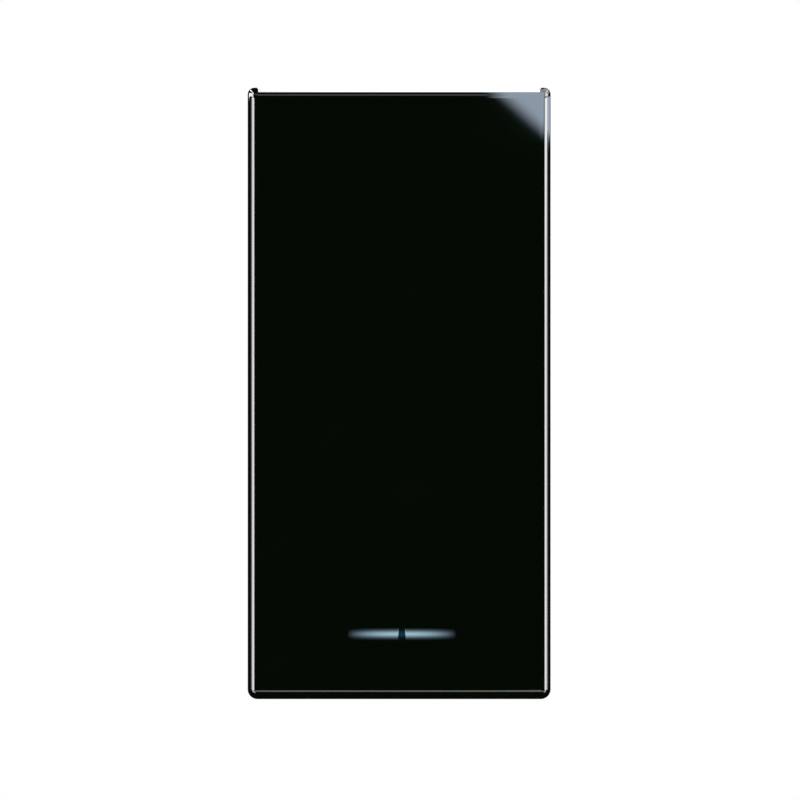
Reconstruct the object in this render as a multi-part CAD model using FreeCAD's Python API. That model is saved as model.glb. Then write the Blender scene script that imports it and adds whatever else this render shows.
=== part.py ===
import FreeCAD, Part
import math
import os

# Illuminated rocker switch mechanism, one module wide. All sizes are in millimetres.
# X points right, Y points into the wall and Z points up. The origin is the middle of the
# seat plane, where the flange of the front cover rests on its mounting frame.

# The module that the frame is divided in, and what each layer gives up to the one in front
module_width = 22.5
module_height = 45.0
key_joint = 0.2
cover_side_step = 0.05
cover_end_step = 0.5
flange_side = 0.3
flange_end = 1.8

# Rocker key
key_depth = 7.65
key_face_wall = 1.8
key_skirt_wall = 1.3
key_corner_radius = 0.55
key_edge_bevel = 0.45
key_gap = 0.35
key_tilt = 3.5
key_relief = 0.3

# Hooks that hold the key on the cradle
hook_spacing = 18.0
hook_length = 3.0
hook_thickness = 1.0
hook_overlap = 0.4

# Split light bar low on the key
light_x = 0.2
light_from_bottom = 4.8
light_width = 8.0
light_height = 0.85
light_rib = 0.5
light_tip_roundness = 0.95
light_recess = 0.04
light_fit = 0.03

# Clear guide behind the light bar
guide_flange_width = 10.4
guide_flange_height = 2.8
guide_flange_thickness = 1.0
guide_stub_radius = 1.4
guide_stub_length = 1.6

# Rocker cradle
cradle_thickness = 1.6
cradle_side_gap = 0.55
cradle_end_gap = 0.8
notch_gap = 0.5
cradle_rib_height = 1.9
cradle_rib_thickness = 1.2
cheek_thickness = 1.6
cheek_floor_gap = 0.3
pivot_rise = 2.5
pivot_radius = 1.2
pivot_length = 1.9
pivot_fit = 0.05
tube_radius = 2.5
tube_length = 7.6
tube_floor = 1.0

# Plunger and its spring
plunger_radius = 1.5
plunger_length = 7.5
plunger_nose_radius = 1.0
plunger_fit = 0.06
plunger_tip_gap = 0.08
plunger_wire = 0.3

# Front cover
cover_thickness = 2.0
cover_corner_radius = 0.6
cover_pocket = 0.4
cover_rib_height = 0.9
cover_rib_length = 28.0
ear_thickness = 1.8
ear_wall = 0.9
ear_side_gap = 0.2
ear_skirt_gap = 0.65
opening_margin = 0.5
tongue_spacing = 24.0
tongue_width = 4.6
tongue_length = 6.4
tongue_thickness = 0.7
tongue_window_width = 2.9
tongue_window_start = 3.8
tongue_window_end = 5.3

# Housing
housing_depth = 24.0
side_wall = 1.4
end_wall = 1.2
back_wall = 1.2
housing_corner_radius = 0.8
housing_back_bevel = 0.5
rim_gap = 2.2
lug_width = 7.0
lug_height = 0.9
lug_length = 3.0
lug_flat = 0.4
label_width = 14.0
label_height = 17.0
label_depth = 0.2
nub_gap = 0.1
nub_flat = 0.3
partition = 1.2
cross_wall = 1.0
post_width = 0.8
post_gap = 0.4
post_depth = 2.4
ledge_depth = 1.4
saddle_post_width = 2.0
saddle_post_height = 6.0

# Push-in terminals
terminal_from_side = 4.1
wire_from_end = 2.4
wire_hole_radius = 1.4
wire_bore_length = 3.0
wire_funnel = 0.4
collar_wall = 0.7
leaf_width = 5.0
leaf_thickness = 0.35
leaf_strip_gap = 0.8
leaf_bend = 1.1
leaf_tip_short = 1.4
leaf_nose = 0.5
leaf_gap = 0.05
leaf_collar_gap = 0.6
release_from_wire = 3.5
release_from_wall = 2.7
release_width = 4.4
release_height = 2.2
release_leaf_gap = 0.95
release_proud = 1.2
release_shoulder = 0.5
release_shoulder_length = 2.0
release_slot_width = 0.8
release_slot_depth = 0.5
release_edge_radius = 0.25

# Strips, rivets and the seesaw lever
strip_thickness = 0.8
strip_y = 9.75
strip_side_width = 2.0
strip_gap = 0.6
common_y = 12.0
common_width = 4.0
bar_width = 5.8
bar_collar_gap = 0.2
contact_from_wall = 1.1
contact_radius = 1.3
contact_head = 0.6
contact_shank_radius = 0.7
contact_pad_width = 6.0
contact_pad_height = 3.0
rivet_fit = 0.03
rivet_tail = 0.3
lever_axis_y = 7.2
lever_width = 6.0
lever_overhang = 1.7
lever_thickness = 0.8
lever_flange_height = 2.1
lever_flange_length = 3.2
lever_flange_thickness = 0.6
lever_corner_radius = 1.0
knife_radius = 0.25
knife_taper = 1.0
knife_gap = 0.05
dome_radius = 2.0
dome_height = 0.8

# Lamp
carrier_width = 12.0
carrier_height = 5.6
carrier_depth = 2.3
carrier_wall = 0.7
carrier_floor = 1.0
carrier_lip = 0.3
carrier_lip_thickness = 0.8
carrier_fit = 0.1
carrier_clip_height = 2.0
carrier_clip_reach = 1.4
carrier_clip_thickness = 0.6
carrier_clip_barb = 0.3
board_thickness = 0.8
board_gap = 0.1
led_radius = 1.5
led_flange_radius = 1.8
led_flange_thickness = 0.3
resistor_x = -3.6
resistor_length = 3.2
resistor_width = 1.6
resistor_height = 0.6
resistor_cap = 0.5
diode_x = 3.7
diode_length = 2.7
diode_width = 1.6
diode_height = 1.1
diode_lead = 0.5
chip_lift = 0.05
lamp_spring_offset = 4.0
lamp_spring_lift = 0.6
lamp_spring_radius = 0.95
lamp_spring_wire = 0.3
lamp_tube_wall = 0.5
lamp_tube_length = 2.5

# Clearances shared by several pieces
running_gap = 0.1
seat_gap = 0.02
coil_end_gap = 0.02
plunger_coil_gap = 0.46
lamp_coil_gap = 0.7

# How far joined shapes run into each other, and how far cutting shapes run past a wall
merge = 0.1
through = 1.0

# Outlines, each stepped in from the module
key_width = module_width - key_joint
key_height = module_height
cover_width = key_width - 2 * cover_side_step
cover_height = key_height - 2 * cover_end_step
housing_width = cover_width - 2 * flange_side
housing_height = cover_height - 2 * flange_end
light_z = light_from_bottom - key_height / 2

# Planes across the depth, from the front of the key to the back of the housing
cover_face_y = -cover_thickness
skirt_back_y = cover_face_y - key_gap
key_front_y = skirt_back_y - key_depth
key_inner_y = key_front_y + key_face_wall
cradle_back_y = key_inner_y + cradle_thickness
pivot_y = cover_face_y - pivot_rise
housing_front_y = -cover_pocket
chamber_back_y = housing_depth - back_wall
lever_back_y = lever_axis_y - knife_radius - knife_gap
lever_front_y = lever_back_y - lever_thickness
plunger_tip_y = lever_front_y - plunger_tip_gap
plunger_back_y = plunger_tip_y - plunger_length
tube_end_y = cradle_back_y + tube_length
bore_floor_y = key_inner_y + tube_floor
carrier_back_y = housing_front_y - running_gap
board_back_y = carrier_back_y - carrier_floor - board_gap
board_front_y = board_back_y - board_thickness
release_back_y = housing_depth + release_proud
collar_front_y = housing_depth - wire_funnel - wire_bore_length

# Half widths and heights that several pieces share
cradle_half_width = key_width / 2 - key_skirt_wall - cradle_side_gap
cradle_half_height = key_height / 2 - key_skirt_wall - cradle_end_gap
ear_outer_x = key_width / 2 - key_skirt_wall - ear_skirt_gap
ear_inner_x = ear_outer_x - ear_thickness
cheek_outer_x = ear_inner_x - ear_side_gap
cavity_half_width = housing_width / 2 - side_wall
cavity_half_height = housing_height / 2 - end_wall
ear_radius = pivot_radius + pivot_fit + ear_wall
terminal_x = cavity_half_width - terminal_from_side
wire_z = cavity_half_height - wire_from_end
release_z = wire_z - release_from_wire
cross_wall_z = release_z - release_from_wall
contact_z = cross_wall_z - contact_from_wall
lever_half_length = contact_z + lever_overhang
bar_inner_x = terminal_x - bar_width / 2
bar_z = cavity_half_height - running_gap - strip_thickness
bar_back_y = collar_front_y - bar_collar_gap
strip_outer_x = cavity_half_width - 2 * running_gap
lamp_spring_z = light_z + lamp_spring_lift

# The fold, the leaning leg and the tip of a clamp leaf, and the lever that stands off that leg
leaf_seat_z = cross_wall_z + cross_wall + leaf_gap
leaf_leaning_z = leaf_seat_z + leaf_bend
leaf_tip_z = bar_z - leaf_gap
leaf_fold_y = common_y + strip_thickness + leaf_strip_gap
leaf_tip_y = collar_front_y - leaf_collar_gap - leaf_tip_short
leaf_slope = (leaf_tip_y - leaf_fold_y) / (leaf_tip_z - leaf_leaning_z)
release_meets_leaf_y = leaf_fold_y + leaf_slope * (release_z + release_height / 2 - leaf_leaning_z)
release_front_y = release_meets_leaf_y + leaf_thickness + release_leaf_gap

terminals = [("common_left", -1, 1), ("common_right", 1, 1), ("1", -1, -1), ("2", 1, -1)]


def vec(x, y, z):
    return FreeCAD.Vector(x, y, z)


def block(xs, ys, zs):
    low = vec(min(xs), min(ys), min(zs))
    high = vec(max(xs), max(ys), max(zs))
    size = high - low
    return Part.makeBox(size.x, size.y, size.z, low)


def rod_x(radius, xs, y, z):
    return Part.makeCylinder(radius, max(xs) - min(xs), vec(min(xs), y, z), vec(1, 0, 0))


def rod_y(radius, ys, x, z):
    return Part.makeCylinder(radius, max(ys) - min(ys), vec(x, min(ys), z), vec(0, 1, 0))


def cone_y(radius_lo, radius_hi, ys, x, z):
    return Part.makeCone(radius_lo, radius_hi, max(ys) - min(ys), vec(x, min(ys), z), vec(0, 1, 0))


def prism_x(points, xs):
    # A prism along X over an outline of (y, z) points.
    corners = [vec(min(xs), y, z) for y, z in points]
    face = Part.Face(Part.makePolygon(corners + corners[:1]))
    return face.extrude(vec(max(xs) - min(xs), 0, 0))


def prism_z(points, zs):
    # A prism along Z over an outline of (x, y) points.
    corners = [vec(x, y, min(zs)) for x, y in points]
    face = Part.Face(Part.makePolygon(corners + corners[:1]))
    return face.extrude(vec(0, 0, max(zs) - min(zs)))


def join(shapes):
    whole = shapes[0].fuse(shapes[1:])
    return whole.removeSplitter()


def both(value):
    return (-value, value)


def around(middle, whole):
    return (middle - whole / 2, middle + whole / 2)


def edges_along(shape, axis):
    # Straight edges parallel to one axis, given as a unit vector.
    found = []
    for edge in shape.Edges:
        if len(edge.Vertexes) == 2 and isinstance(edge.Curve, Part.Line):
            run = edge.Vertexes[1].Point - edge.Vertexes[0].Point
            if abs(run.dot(axis)) > run.Length * 0.999:
                found.append(edge)
    return found


def edges_at_y(shape, y):
    # Edges that lie in the plane at this depth.
    found = []
    for edge in shape.Edges:
        box = edge.BoundBox
        if abs(box.YMin - y) < 0.001 and abs(box.YMax - y) < 0.001:
            found.append(edge)
    return found


def arc_middle(start, tangent, end):
    # The middle point of the arc that leaves start along tangent and ends at end.
    chord = end - start
    along = chord * (1 / chord.Length)
    side = tangent - along * tangent.dot(along)
    side.normalize()
    half_turn = math.acos(tangent.dot(along))
    return (start + end) * 0.5 + side * (chord.Length / 2 * math.tan(half_turn / 2))


def biarc(start, start_tangent, end, end_tangent):
    # Two arcs that meet smoothly between two points with given tangents.
    span = end - start
    spread = 2 * (1 - start_tangent.dot(end_tangent))
    lean = span.dot(start_tangent + end_tangent)
    reach = (math.sqrt(lean * lean + spread * span.dot(span)) - lean) / spread
    middle = (start + start_tangent * reach + end - end_tangent * reach) * 0.5
    first = Part.Arc(start, arc_middle(start, start_tangent, middle), middle)
    second = Part.Arc(middle, arc_middle(end, end_tangent * -1, middle), end)
    return [first.toShape(), second.toShape()]


def helix_point(middle, radius, pitch, turn):
    angle = 2 * math.pi * turn
    return middle + vec(radius * math.cos(angle), pitch * turn, radius * math.sin(angle))


def helix_tangent(radius, pitch, turn):
    angle = 2 * math.pi * turn
    tangent = vec(-radius * math.sin(angle), pitch / (2 * math.pi), radius * math.cos(angle))
    tangent.normalize()
    return tangent


def least_gap(points, nearest, wire):
    # The least gap between one stretch of a coil and stretches at least nearest points on.
    pairs = ((i, j) for i in range(len(points)) for j in range(i + nearest, len(points)))
    return min((points[i] - points[j]).Length for i, j in pairs) - wire


def coil(name, x, z, ys, radius, wire, gap):
    # A coil spring along Y of quarter turns, each a biarc, with its least gap printed.
    start_y = min(ys) + wire / 2 + coil_end_gap
    end_y = max(ys) - wire / 2 - coil_end_gap
    quarters = int(4 * (end_y - start_y) / (wire + gap))
    pitch = (end_y - start_y) * 4 / quarters
    middle = vec(x, start_y, z)
    edges = []
    for quarter in range(quarters):
        turn = quarter / 4
        start = helix_point(middle, radius, pitch, turn)
        end = helix_point(middle, radius, pitch, turn + 0.25)
        first = helix_tangent(radius, pitch, turn)
        last = helix_tangent(radius, pitch, turn + 0.25)
        edges += biarc(start, first, end, last)
    steps = 32
    points = [helix_point(middle, radius, pitch, i / steps) for i in range(quarters * steps // 4)]
    clear = least_gap(points, steps // 2, wire)
    print(name, "turns", round(quarters / 4, 2), "least gap", round(clear, 3))
    ring = Part.Circle(helix_point(middle, radius, pitch, 0), helix_tangent(radius, pitch, 0), wire / 2)
    return Part.Wire(edges).makePipeShell([Part.Wire(ring.toShape())], True, False)


def light_bar(side, margin, ys):
    # One half of the split light bar, grown all round by margin, with a rounded outer tip.
    inner = light_x + side * (light_rib / 2 - margin)
    outer = light_x + side * (light_width / 2 + margin)
    bar = block((inner, outer), ys, around(light_z, light_height + 2 * margin))
    tips = [e for e in edges_along(bar, vec(0, 1, 0)) if abs(e.BoundBox.XMin - outer) < 0.001]
    return bar.makeFillet(light_tip_roundness * (light_height / 2 + margin), tips)


def skirt_relief(end):
    # The wedge cut from the skirt so that it stays off the front cover when the key tilts.
    slope = math.tan(math.radians(key_tilt + key_relief))
    tip_z = end * (key_height / 2 + through)
    outline = [(skirt_back_y, 0), (skirt_back_y - slope * abs(tip_z), tip_z)]
    outline += [(skirt_back_y + through, tip_z), (skirt_back_y + through, 0)]
    return prism_x(outline, both(key_width / 2 + through))


def key_hook(side, end):
    inner_x = key_width / 2 - key_skirt_wall
    xs = (side * (cradle_half_width - hook_overlap), side * (inner_x + merge))
    ys = (cradle_back_y, cradle_back_y + hook_thickness)
    return block(xs, ys, around(end * hook_spacing / 2, hook_length))


def rocker_key():
    body = block(both(key_width / 2), (key_front_y, skirt_back_y), both(key_height / 2))
    body = body.makeFillet(key_corner_radius, edges_along(body, vec(0, 1, 0)))
    body = body.makeChamfer(key_edge_bevel, edges_at_y(body, key_front_y))
    hollow_x = both(key_width / 2 - key_skirt_wall)
    hollow_z = both(key_height / 2 - key_skirt_wall)
    body = body.cut(block(hollow_x, (key_inner_y, skirt_back_y + through), hollow_z))
    for side in (-1, 1):
        body = body.cut(light_bar(side, 0, (key_front_y - through, key_inner_y + through)))
        body = body.cut(skirt_relief(side))
    hooks = [key_hook(side, end) for side in (-1, 1) for end in (-1, 1)]
    return join([body] + hooks)


def guide_flange(margin):
    ys = (key_inner_y - margin, key_inner_y + guide_flange_thickness + margin)
    xs = around(light_x, guide_flange_width + 2 * margin)
    return block(xs, ys, around(light_z, guide_flange_height + 2 * margin))


def light_guide():
    back_y = key_inner_y + guide_flange_thickness
    pieces = [guide_flange(0)]
    pieces.append(rod_y(guide_stub_radius, (back_y, back_y + guide_stub_length), light_x, light_z))
    for side in (-1, 1):
        pieces.append(light_bar(side, -light_fit, (key_front_y + light_recess, key_inner_y)))
    return join(pieces)


def rocker_cradle():
    plate = block(both(cradle_half_width), (key_inner_y, cradle_back_y), both(cradle_half_height))
    plate = plate.cut(guide_flange(running_gap))
    stub_y = (key_inner_y, cradle_back_y + through)
    plate = plate.cut(rod_y(guide_stub_radius + running_gap, stub_y, light_x, light_z))
    notch_z = both(ear_radius + notch_gap)
    for side in (-1, 1):
        notch_x = (side * cheek_outer_x, side * (cradle_half_width + through))
        plate = plate.cut(block(notch_x, (key_inner_y - through, cradle_back_y + through), notch_z))
    pieces = [plate]
    cheek_radius = pivot_rise - cheek_floor_gap
    for side in (-1, 1):
        cheek_x = (side * (cheek_outer_x - cheek_thickness), side * cheek_outer_x)
        pieces.append(block(cheek_x, (cradle_back_y, pivot_y), both(cheek_radius)))
        pieces.append(rod_x(cheek_radius, cheek_x, pivot_y, 0))
        stub_x = (side * (cheek_outer_x - cheek_thickness / 2), side * (cheek_outer_x + pivot_length))
        pieces.append(rod_x(pivot_radius, stub_x, pivot_y, 0))
    rib_y = (cradle_back_y, cradle_back_y + cradle_rib_height)
    pieces.append(block(both(cheek_outer_x - cheek_thickness), rib_y, both(cradle_rib_thickness / 2)))
    pieces.append(rod_y(tube_radius, (cradle_back_y, tube_end_y), 0, 0))
    bore = rod_y(plunger_radius + plunger_fit, (bore_floor_y, tube_end_y + through), 0, 0)
    return join(pieces).cut(bore)


def plunger():
    nose_y = plunger_tip_y - plunger_nose_radius
    shoulder_y = nose_y - (plunger_radius - plunger_nose_radius)
    shaft = rod_y(plunger_radius, (plunger_back_y, shoulder_y), 0, 0)
    taper = cone_y(plunger_radius, plunger_nose_radius, (shoulder_y, nose_y), 0, 0)
    nose = Part.makeSphere(plunger_nose_radius, vec(0, nose_y, 0))
    return join([shaft, taper, nose])


def plunger_spring():
    radius = plunger_radius - running_gap - plunger_wire / 2
    ys = (bore_floor_y, plunger_back_y)
    return coil("plunger_spring", 0, 0, ys, radius, plunger_wire, plunger_coil_gap)


def carrier_outline(margin, ys):
    xs = around(light_x, carrier_width + 2 * margin)
    return block(xs, ys, around(light_z, carrier_height + 2 * margin))


def front_cover():
    plate = block(both(cover_width / 2), (cover_face_y, 0), both(cover_height / 2))
    plate = plate.makeFillet(cover_corner_radius, edges_along(plate, vec(0, 1, 0)))
    pieces = [plate]
    for side in (-1, 1):
        ear_x = (side * ear_inner_x, side * ear_outer_x)
        pieces.append(block(ear_x, (pivot_y, cover_face_y), both(ear_radius)))
        pieces.append(rod_x(ear_radius, ear_x, pivot_y, 0))
        rib_x = (side * (ear_outer_x - ear_wall), side * ear_outer_x)
        rib_y = (cover_face_y - cover_rib_height, cover_face_y)
        pieces.append(block(rib_x, rib_y, both(cover_rib_length / 2)))
    cover = join(pieces)
    swing = (tube_end_y - pivot_y) * math.sin(math.radians(key_tilt))
    opening_half_width = tube_radius + opening_margin
    opening_z = both(opening_half_width + swing)
    cover = cover.cut(block(both(opening_half_width), (cover_face_y - through, through), opening_z))
    pocket_x = both(housing_width / 2 + seat_gap)
    pocket_z = both(housing_height / 2 + seat_gap)
    cover = cover.cut(block(pocket_x, (housing_front_y, through), pocket_z))
    cover = cover.cut(carrier_outline(carrier_fit, (cover_face_y - through, through)))
    cover = cover.cut(rod_x(pivot_radius + pivot_fit, both(cover_width / 2), pivot_y, 0))
    tongues = [tongue(side, end) for side in (-1, 1) for end in (-1, 1)]
    return join([cover] + tongues)


def tongue(side, end):
    outer_x = housing_width / 2
    xs = (side * (outer_x - tongue_thickness), side * outer_x)
    middle_z = end * tongue_spacing / 2
    strip = block(xs, (housing_front_y - merge, tongue_length), around(middle_z, tongue_width))
    window_z = around(middle_z, tongue_window_width)
    window_x = (side * (outer_x - tongue_thickness - through), side * (outer_x + through))
    return strip.cut(block(window_x, (tongue_window_start, tongue_window_end), window_z))


def snap_lug(end):
    # The wedge that snaps behind the mounting frame, flat on the side of the flange.
    root_z = end * (housing_height / 2 - merge)
    peak_z = end * (housing_height / 2 + lug_height)
    outline = [(rim_gap, root_z), (rim_gap, peak_z), (rim_gap + lug_flat, peak_z)]
    outline.append((rim_gap + lug_length, root_z))
    return prism_x(outline, both(lug_width / 2))


def cover_nub(side, end):
    floor_x = side * (housing_width / 2 - tongue_thickness - seat_gap - merge)
    peak_x = side * housing_width / 2
    start = tongue_window_start + nub_gap
    stop = tongue_window_end - nub_gap
    outline = [(floor_x, start), (peak_x, stop - nub_flat), (peak_x, stop), (floor_x, stop)]
    return prism_z(outline, around(end * tongue_spacing / 2, tongue_window_width - 2 * nub_gap))


def tongue_recess(side, end):
    xs = (side * (housing_width / 2 - tongue_thickness - seat_gap), side * (housing_width / 2 + through))
    ys = (housing_front_y - through, tongue_length + running_gap)
    return block(xs, ys, around(end * tongue_spacing / 2, tongue_width + 2 * running_gap))


def chamber_front(end):
    # The upper chambers start behind the common strip, the lower ones behind the single strips.
    if end > 0:
        return common_y + strip_thickness + running_gap
    return strip_y + strip_thickness + running_gap


def housing_walls():
    # Partitions, posts and ledges that stand in the cavity.
    post_y = (strip_y + strip_thickness + seat_gap, chamber_back_y + merge)
    walls = []
    for end in (-1, 1):
        wall_y = (chamber_front(end), chamber_back_y + merge)
        wall_z = (end * cross_wall_z, end * (cross_wall_z + cross_wall))
        walls.append(block(both(cavity_half_width + merge), wall_y, wall_z))
        middle_z = (end * cross_wall_z, end * (cavity_half_height + merge))
        walls.append(block(both(partition / 2), wall_y, middle_z))
        for side in (-1, 1):
            inner_x = common_width / 2 + post_gap
            post_x = (side * inner_x, side * (inner_x + post_width))
            post_z = (end * (cross_wall_z - post_depth), end * (cross_wall_z + merge))
            walls.append(block(post_x, post_y, post_z))
    saddle_y = (common_y + strip_thickness + seat_gap, chamber_back_y + merge)
    walls.append(block(both(saddle_post_width / 2), saddle_y, both(saddle_post_height / 2)))
    ledge_x = (-cavity_half_width - merge, -strip_outer_x + strip_side_width)
    ledge_y = (post_y[0], post_y[0] + ledge_depth)
    walls.append(block(ledge_x, ledge_y, both(cross_wall_z - post_depth)))
    return walls


def housing_base():
    shell = block(both(housing_width / 2), (housing_front_y, housing_depth), both(housing_height / 2))
    shell = shell.makeFillet(housing_corner_radius, edges_along(shell, vec(0, 1, 0)))
    shell = shell.makeChamfer(housing_back_bevel, edges_at_y(shell, housing_depth))
    cavity_y = (housing_front_y - through, chamber_back_y)
    cavity = block(both(cavity_half_width), cavity_y, both(cavity_half_height))
    pieces = [shell.cut(cavity)] + housing_walls()
    for end in (-1, 1):
        for side in (-1, 1):
            radius = wire_hole_radius + collar_wall
            ys = (collar_front_y, housing_depth - merge)
            pieces.append(rod_y(radius, ys, side * terminal_x, end * wire_z))
        pieces.append(snap_lug(end))
    base = join(pieces)
    for name, side, end in terminals:
        x = side * terminal_x
        z = end * wire_z
        base = base.cut(rod_y(wire_hole_radius, (collar_front_y - through, housing_depth + through), x, z))
        funnel_y = (housing_depth - wire_funnel, housing_depth)
        base = base.cut(cone_y(wire_hole_radius, wire_hole_radius + wire_funnel, funnel_y, x, z))
        window_x = around(x, release_width + 2 * running_gap)
        window_z = around(end * release_z, release_height + 2 * running_gap)
        base = base.cut(block(window_x, (chamber_back_y - through, housing_depth + through), window_z))
        base = base.cut(tongue_recess(side, end))
    label_y = (housing_depth - label_depth, housing_depth + through)
    base = base.cut(block(both(label_width / 2), label_y, both(label_height / 2)))
    nubs = [cover_nub(side, end) for side in (-1, 1) for end in (-1, 1)]
    return join([base] + nubs)


def wire_bar(side, end, start_y):
    # The bar that a stripped wire is clamped against.
    xs = (side * bar_inner_x, side * (bar_inner_x + bar_width))
    zs = (end * bar_z, end * (bar_z + strip_thickness))
    return block(xs, (start_y, bar_back_y), zs)


def knife_post():
    # The upright on which the lever rocks, with a rounded knife edge.
    half = strip_thickness / 2
    taper_y = lever_axis_y + knife_taper
    outline = [(common_y + merge, -half), (taper_y, -half), (lever_axis_y, -knife_radius)]
    outline += [(lever_axis_y, knife_radius), (taper_y, half), (common_y + merge, half)]
    xs = both(lever_width / 2 - lever_flange_thickness - 2 * running_gap)
    return [prism_x(outline, xs), rod_x(knife_radius, xs, lever_axis_y, 0)]


def common_strip():
    ys = (common_y, common_y + strip_thickness)
    foot_z = cross_wall_z + cross_wall + running_gap
    pieces = [block(both(common_width / 2), ys, (-saddle_post_height / 2, foot_z + merge))]
    pieces.append(block(both(bar_inner_x + bar_width), ys, (foot_z, bar_z + strip_thickness)))
    for side in (-1, 1):
        pieces.append(wire_bar(side, 1, common_y))
    return join(pieces + knife_post())


def contact_strip(side, end):
    # The strip from one fixed contact to the lower terminal on one side.
    ys = (strip_y, strip_y + strip_thickness)
    plate_top = -(contact_z + contact_pad_height / 2)
    if end > 0:
        plate_top = plate_top - strip_gap
    outer_x = side * strip_outer_x
    link_x = (outer_x, outer_x - side * strip_side_width)
    plate_x = (outer_x, side * (partition / 2 + strip_gap))
    pad_x = (outer_x, -side * contact_pad_width / 2)
    pieces = [block(pad_x, ys, around(end * contact_z, contact_pad_height))]
    pieces.append(block(plate_x, ys, (-(bar_z + strip_thickness), plate_top)))
    pieces.append(block(link_x, ys, (plate_top - merge, end * contact_z)))
    pieces.append(wire_bar(side, -1, strip_y))
    hole_y = (strip_y - through, strip_y + strip_thickness + through)
    hole = rod_y(contact_shank_radius + rivet_fit, hole_y, 0, end * contact_z)
    return join(pieces).cut(hole)


def fixed_contact(end):
    z = end * contact_z
    back_y = strip_y + strip_thickness
    head = rod_y(contact_radius, (strip_y - contact_head, strip_y), 0, z)
    shank = rod_y(contact_shank_radius, (strip_y - merge, back_y + rivet_tail), 0, z)
    tail = rod_y(contact_shank_radius + rivet_tail, (back_y, back_y + rivet_tail), 0, z)
    return join([head, shank, tail])


def contact_lever():
    strip = block(both(lever_width / 2), (lever_front_y, lever_back_y), both(lever_half_length))
    strip = strip.makeFillet(lever_corner_radius, edges_along(strip, vec(0, 1, 0)))
    pieces = [strip]
    for side in (-1, 1):
        xs = (side * lever_width / 2, side * (lever_width / 2 - lever_flange_thickness))
        ys = (lever_back_y - merge, lever_back_y + lever_flange_height)
        pieces.append(block(xs, ys, both(lever_flange_length / 2)))
    lever = join(pieces)
    for end in (-1, 1):
        ys = (lever_front_y - through, lever_back_y + through)
        lever = lever.cut(rod_y(contact_shank_radius + rivet_fit, ys, 0, end * contact_z))
    return lever


def moving_contact(end):
    z = end * contact_z
    head = rod_y(contact_radius, (lever_back_y, lever_back_y + dome_height), 0, z)
    dome = Part.makeSphere(dome_radius, vec(0, lever_back_y + dome_height - dome_radius, z))
    shank = rod_y(contact_shank_radius, (lever_front_y - rivet_tail, lever_back_y + merge), 0, z)
    tail = rod_y(contact_shank_radius + rivet_tail, (lever_front_y - rivet_tail, lever_front_y), 0, z)
    return join([head.common(dome), shank, tail])


def clamp_spring(side, end):
    # A leaf folded into a hairpin: one leg on the cross wall, one leaning on the wire bar.
    inner_z = leaf_seat_z + leaf_thickness
    back_y = collar_front_y - leaf_collar_gap
    nose_y = leaf_fold_y - leaf_nose
    root_y = leaf_fold_y + leaf_thickness / 2
    middle_z = leaf_seat_z + leaf_bend / 2
    outline = [(back_y, leaf_seat_z), (leaf_fold_y, leaf_seat_z), (nose_y, middle_z)]
    outline += [(leaf_fold_y, leaf_leaning_z), (leaf_tip_y, leaf_tip_z)]
    outline += [(leaf_tip_y + leaf_thickness, leaf_tip_z), (root_y, leaf_leaning_z - leaf_thickness / 2)]
    outline += [(nose_y + leaf_thickness, middle_z), (root_y, inner_z), (back_y, inner_z)]
    return prism_x([(y, end * z) for y, z in outline], around(side * terminal_x, leaf_width))


def release_lever(side, end):
    x = side * terminal_x
    zs = around(end * release_z, release_height)
    body = block(around(x, release_width), (release_front_y, release_back_y), zs)
    body = body.makeFillet(release_edge_radius, edges_at_y(body, release_back_y))
    stop_y = chamber_back_y - running_gap
    shoulder_x = around(x, release_width + 2 * release_shoulder)
    shoulder = block(shoulder_x, (stop_y - release_shoulder_length, stop_y), zs)
    slot_x = around(x, release_width + through)
    slot_y = (release_back_y - release_slot_depth, release_back_y + through)
    slot = block(slot_x, slot_y, around(end * release_z, release_slot_width))
    return join([body, shoulder]).cut(slot)


def carrier_clip(side):
    # A finger behind the window's edge, with its barb.
    outer_x = light_x + side * carrier_width / 2
    clip_z = around(light_z, carrier_clip_height)
    finger_x = (outer_x, outer_x - side * carrier_clip_thickness)
    finger = block(finger_x, (carrier_back_y - merge, carrier_back_y + carrier_clip_reach), clip_z)
    barb_x = (outer_x - side * merge, outer_x + side * carrier_clip_barb)
    barb_y = (housing_front_y + seat_gap, carrier_back_y + carrier_clip_reach / 2)
    return join([finger, block(barb_x, barb_y, clip_z)])


def lamp_carrier():
    front_y = carrier_back_y - carrier_depth
    bore = lamp_spring_radius + lamp_spring_wire / 2 + running_gap
    tube_y = (carrier_back_y - merge, carrier_back_y + lamp_tube_length)
    pieces = [carrier_outline(0, (front_y, carrier_back_y))]
    pieces.append(carrier_outline(carrier_lip, (cover_face_y - carrier_lip_thickness, cover_face_y)))
    for side in (-1, 1):
        x = light_x + side * lamp_spring_offset
        pieces.append(rod_y(bore + lamp_tube_wall, tube_y, x, lamp_spring_z))
        pieces.append(carrier_clip(side))
    carrier = join(pieces)
    tray_y = (front_y - through, carrier_back_y - carrier_floor)
    carrier = carrier.cut(carrier_outline(-carrier_wall, tray_y))
    for side in (-1, 1):
        x = light_x + side * lamp_spring_offset
        carrier = carrier.cut(rod_y(bore, (front_y, tube_y[1] + through), x, lamp_spring_z))
    return carrier


def lamp_board():
    return carrier_outline(-carrier_wall - 2 * seat_gap, (board_front_y, board_back_y))


def lamp_led():
    flange_y = board_front_y - led_flange_thickness
    flange = rod_y(led_flange_radius, (flange_y, board_front_y), light_x, light_z)
    dome = Part.makeSphere(led_radius, vec(light_x, flange_y, light_z))
    behind = rod_y(led_radius + through, (flange_y, flange_y + led_radius + through), light_x, light_z)
    return join([flange, dome.cut(behind)])


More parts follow.
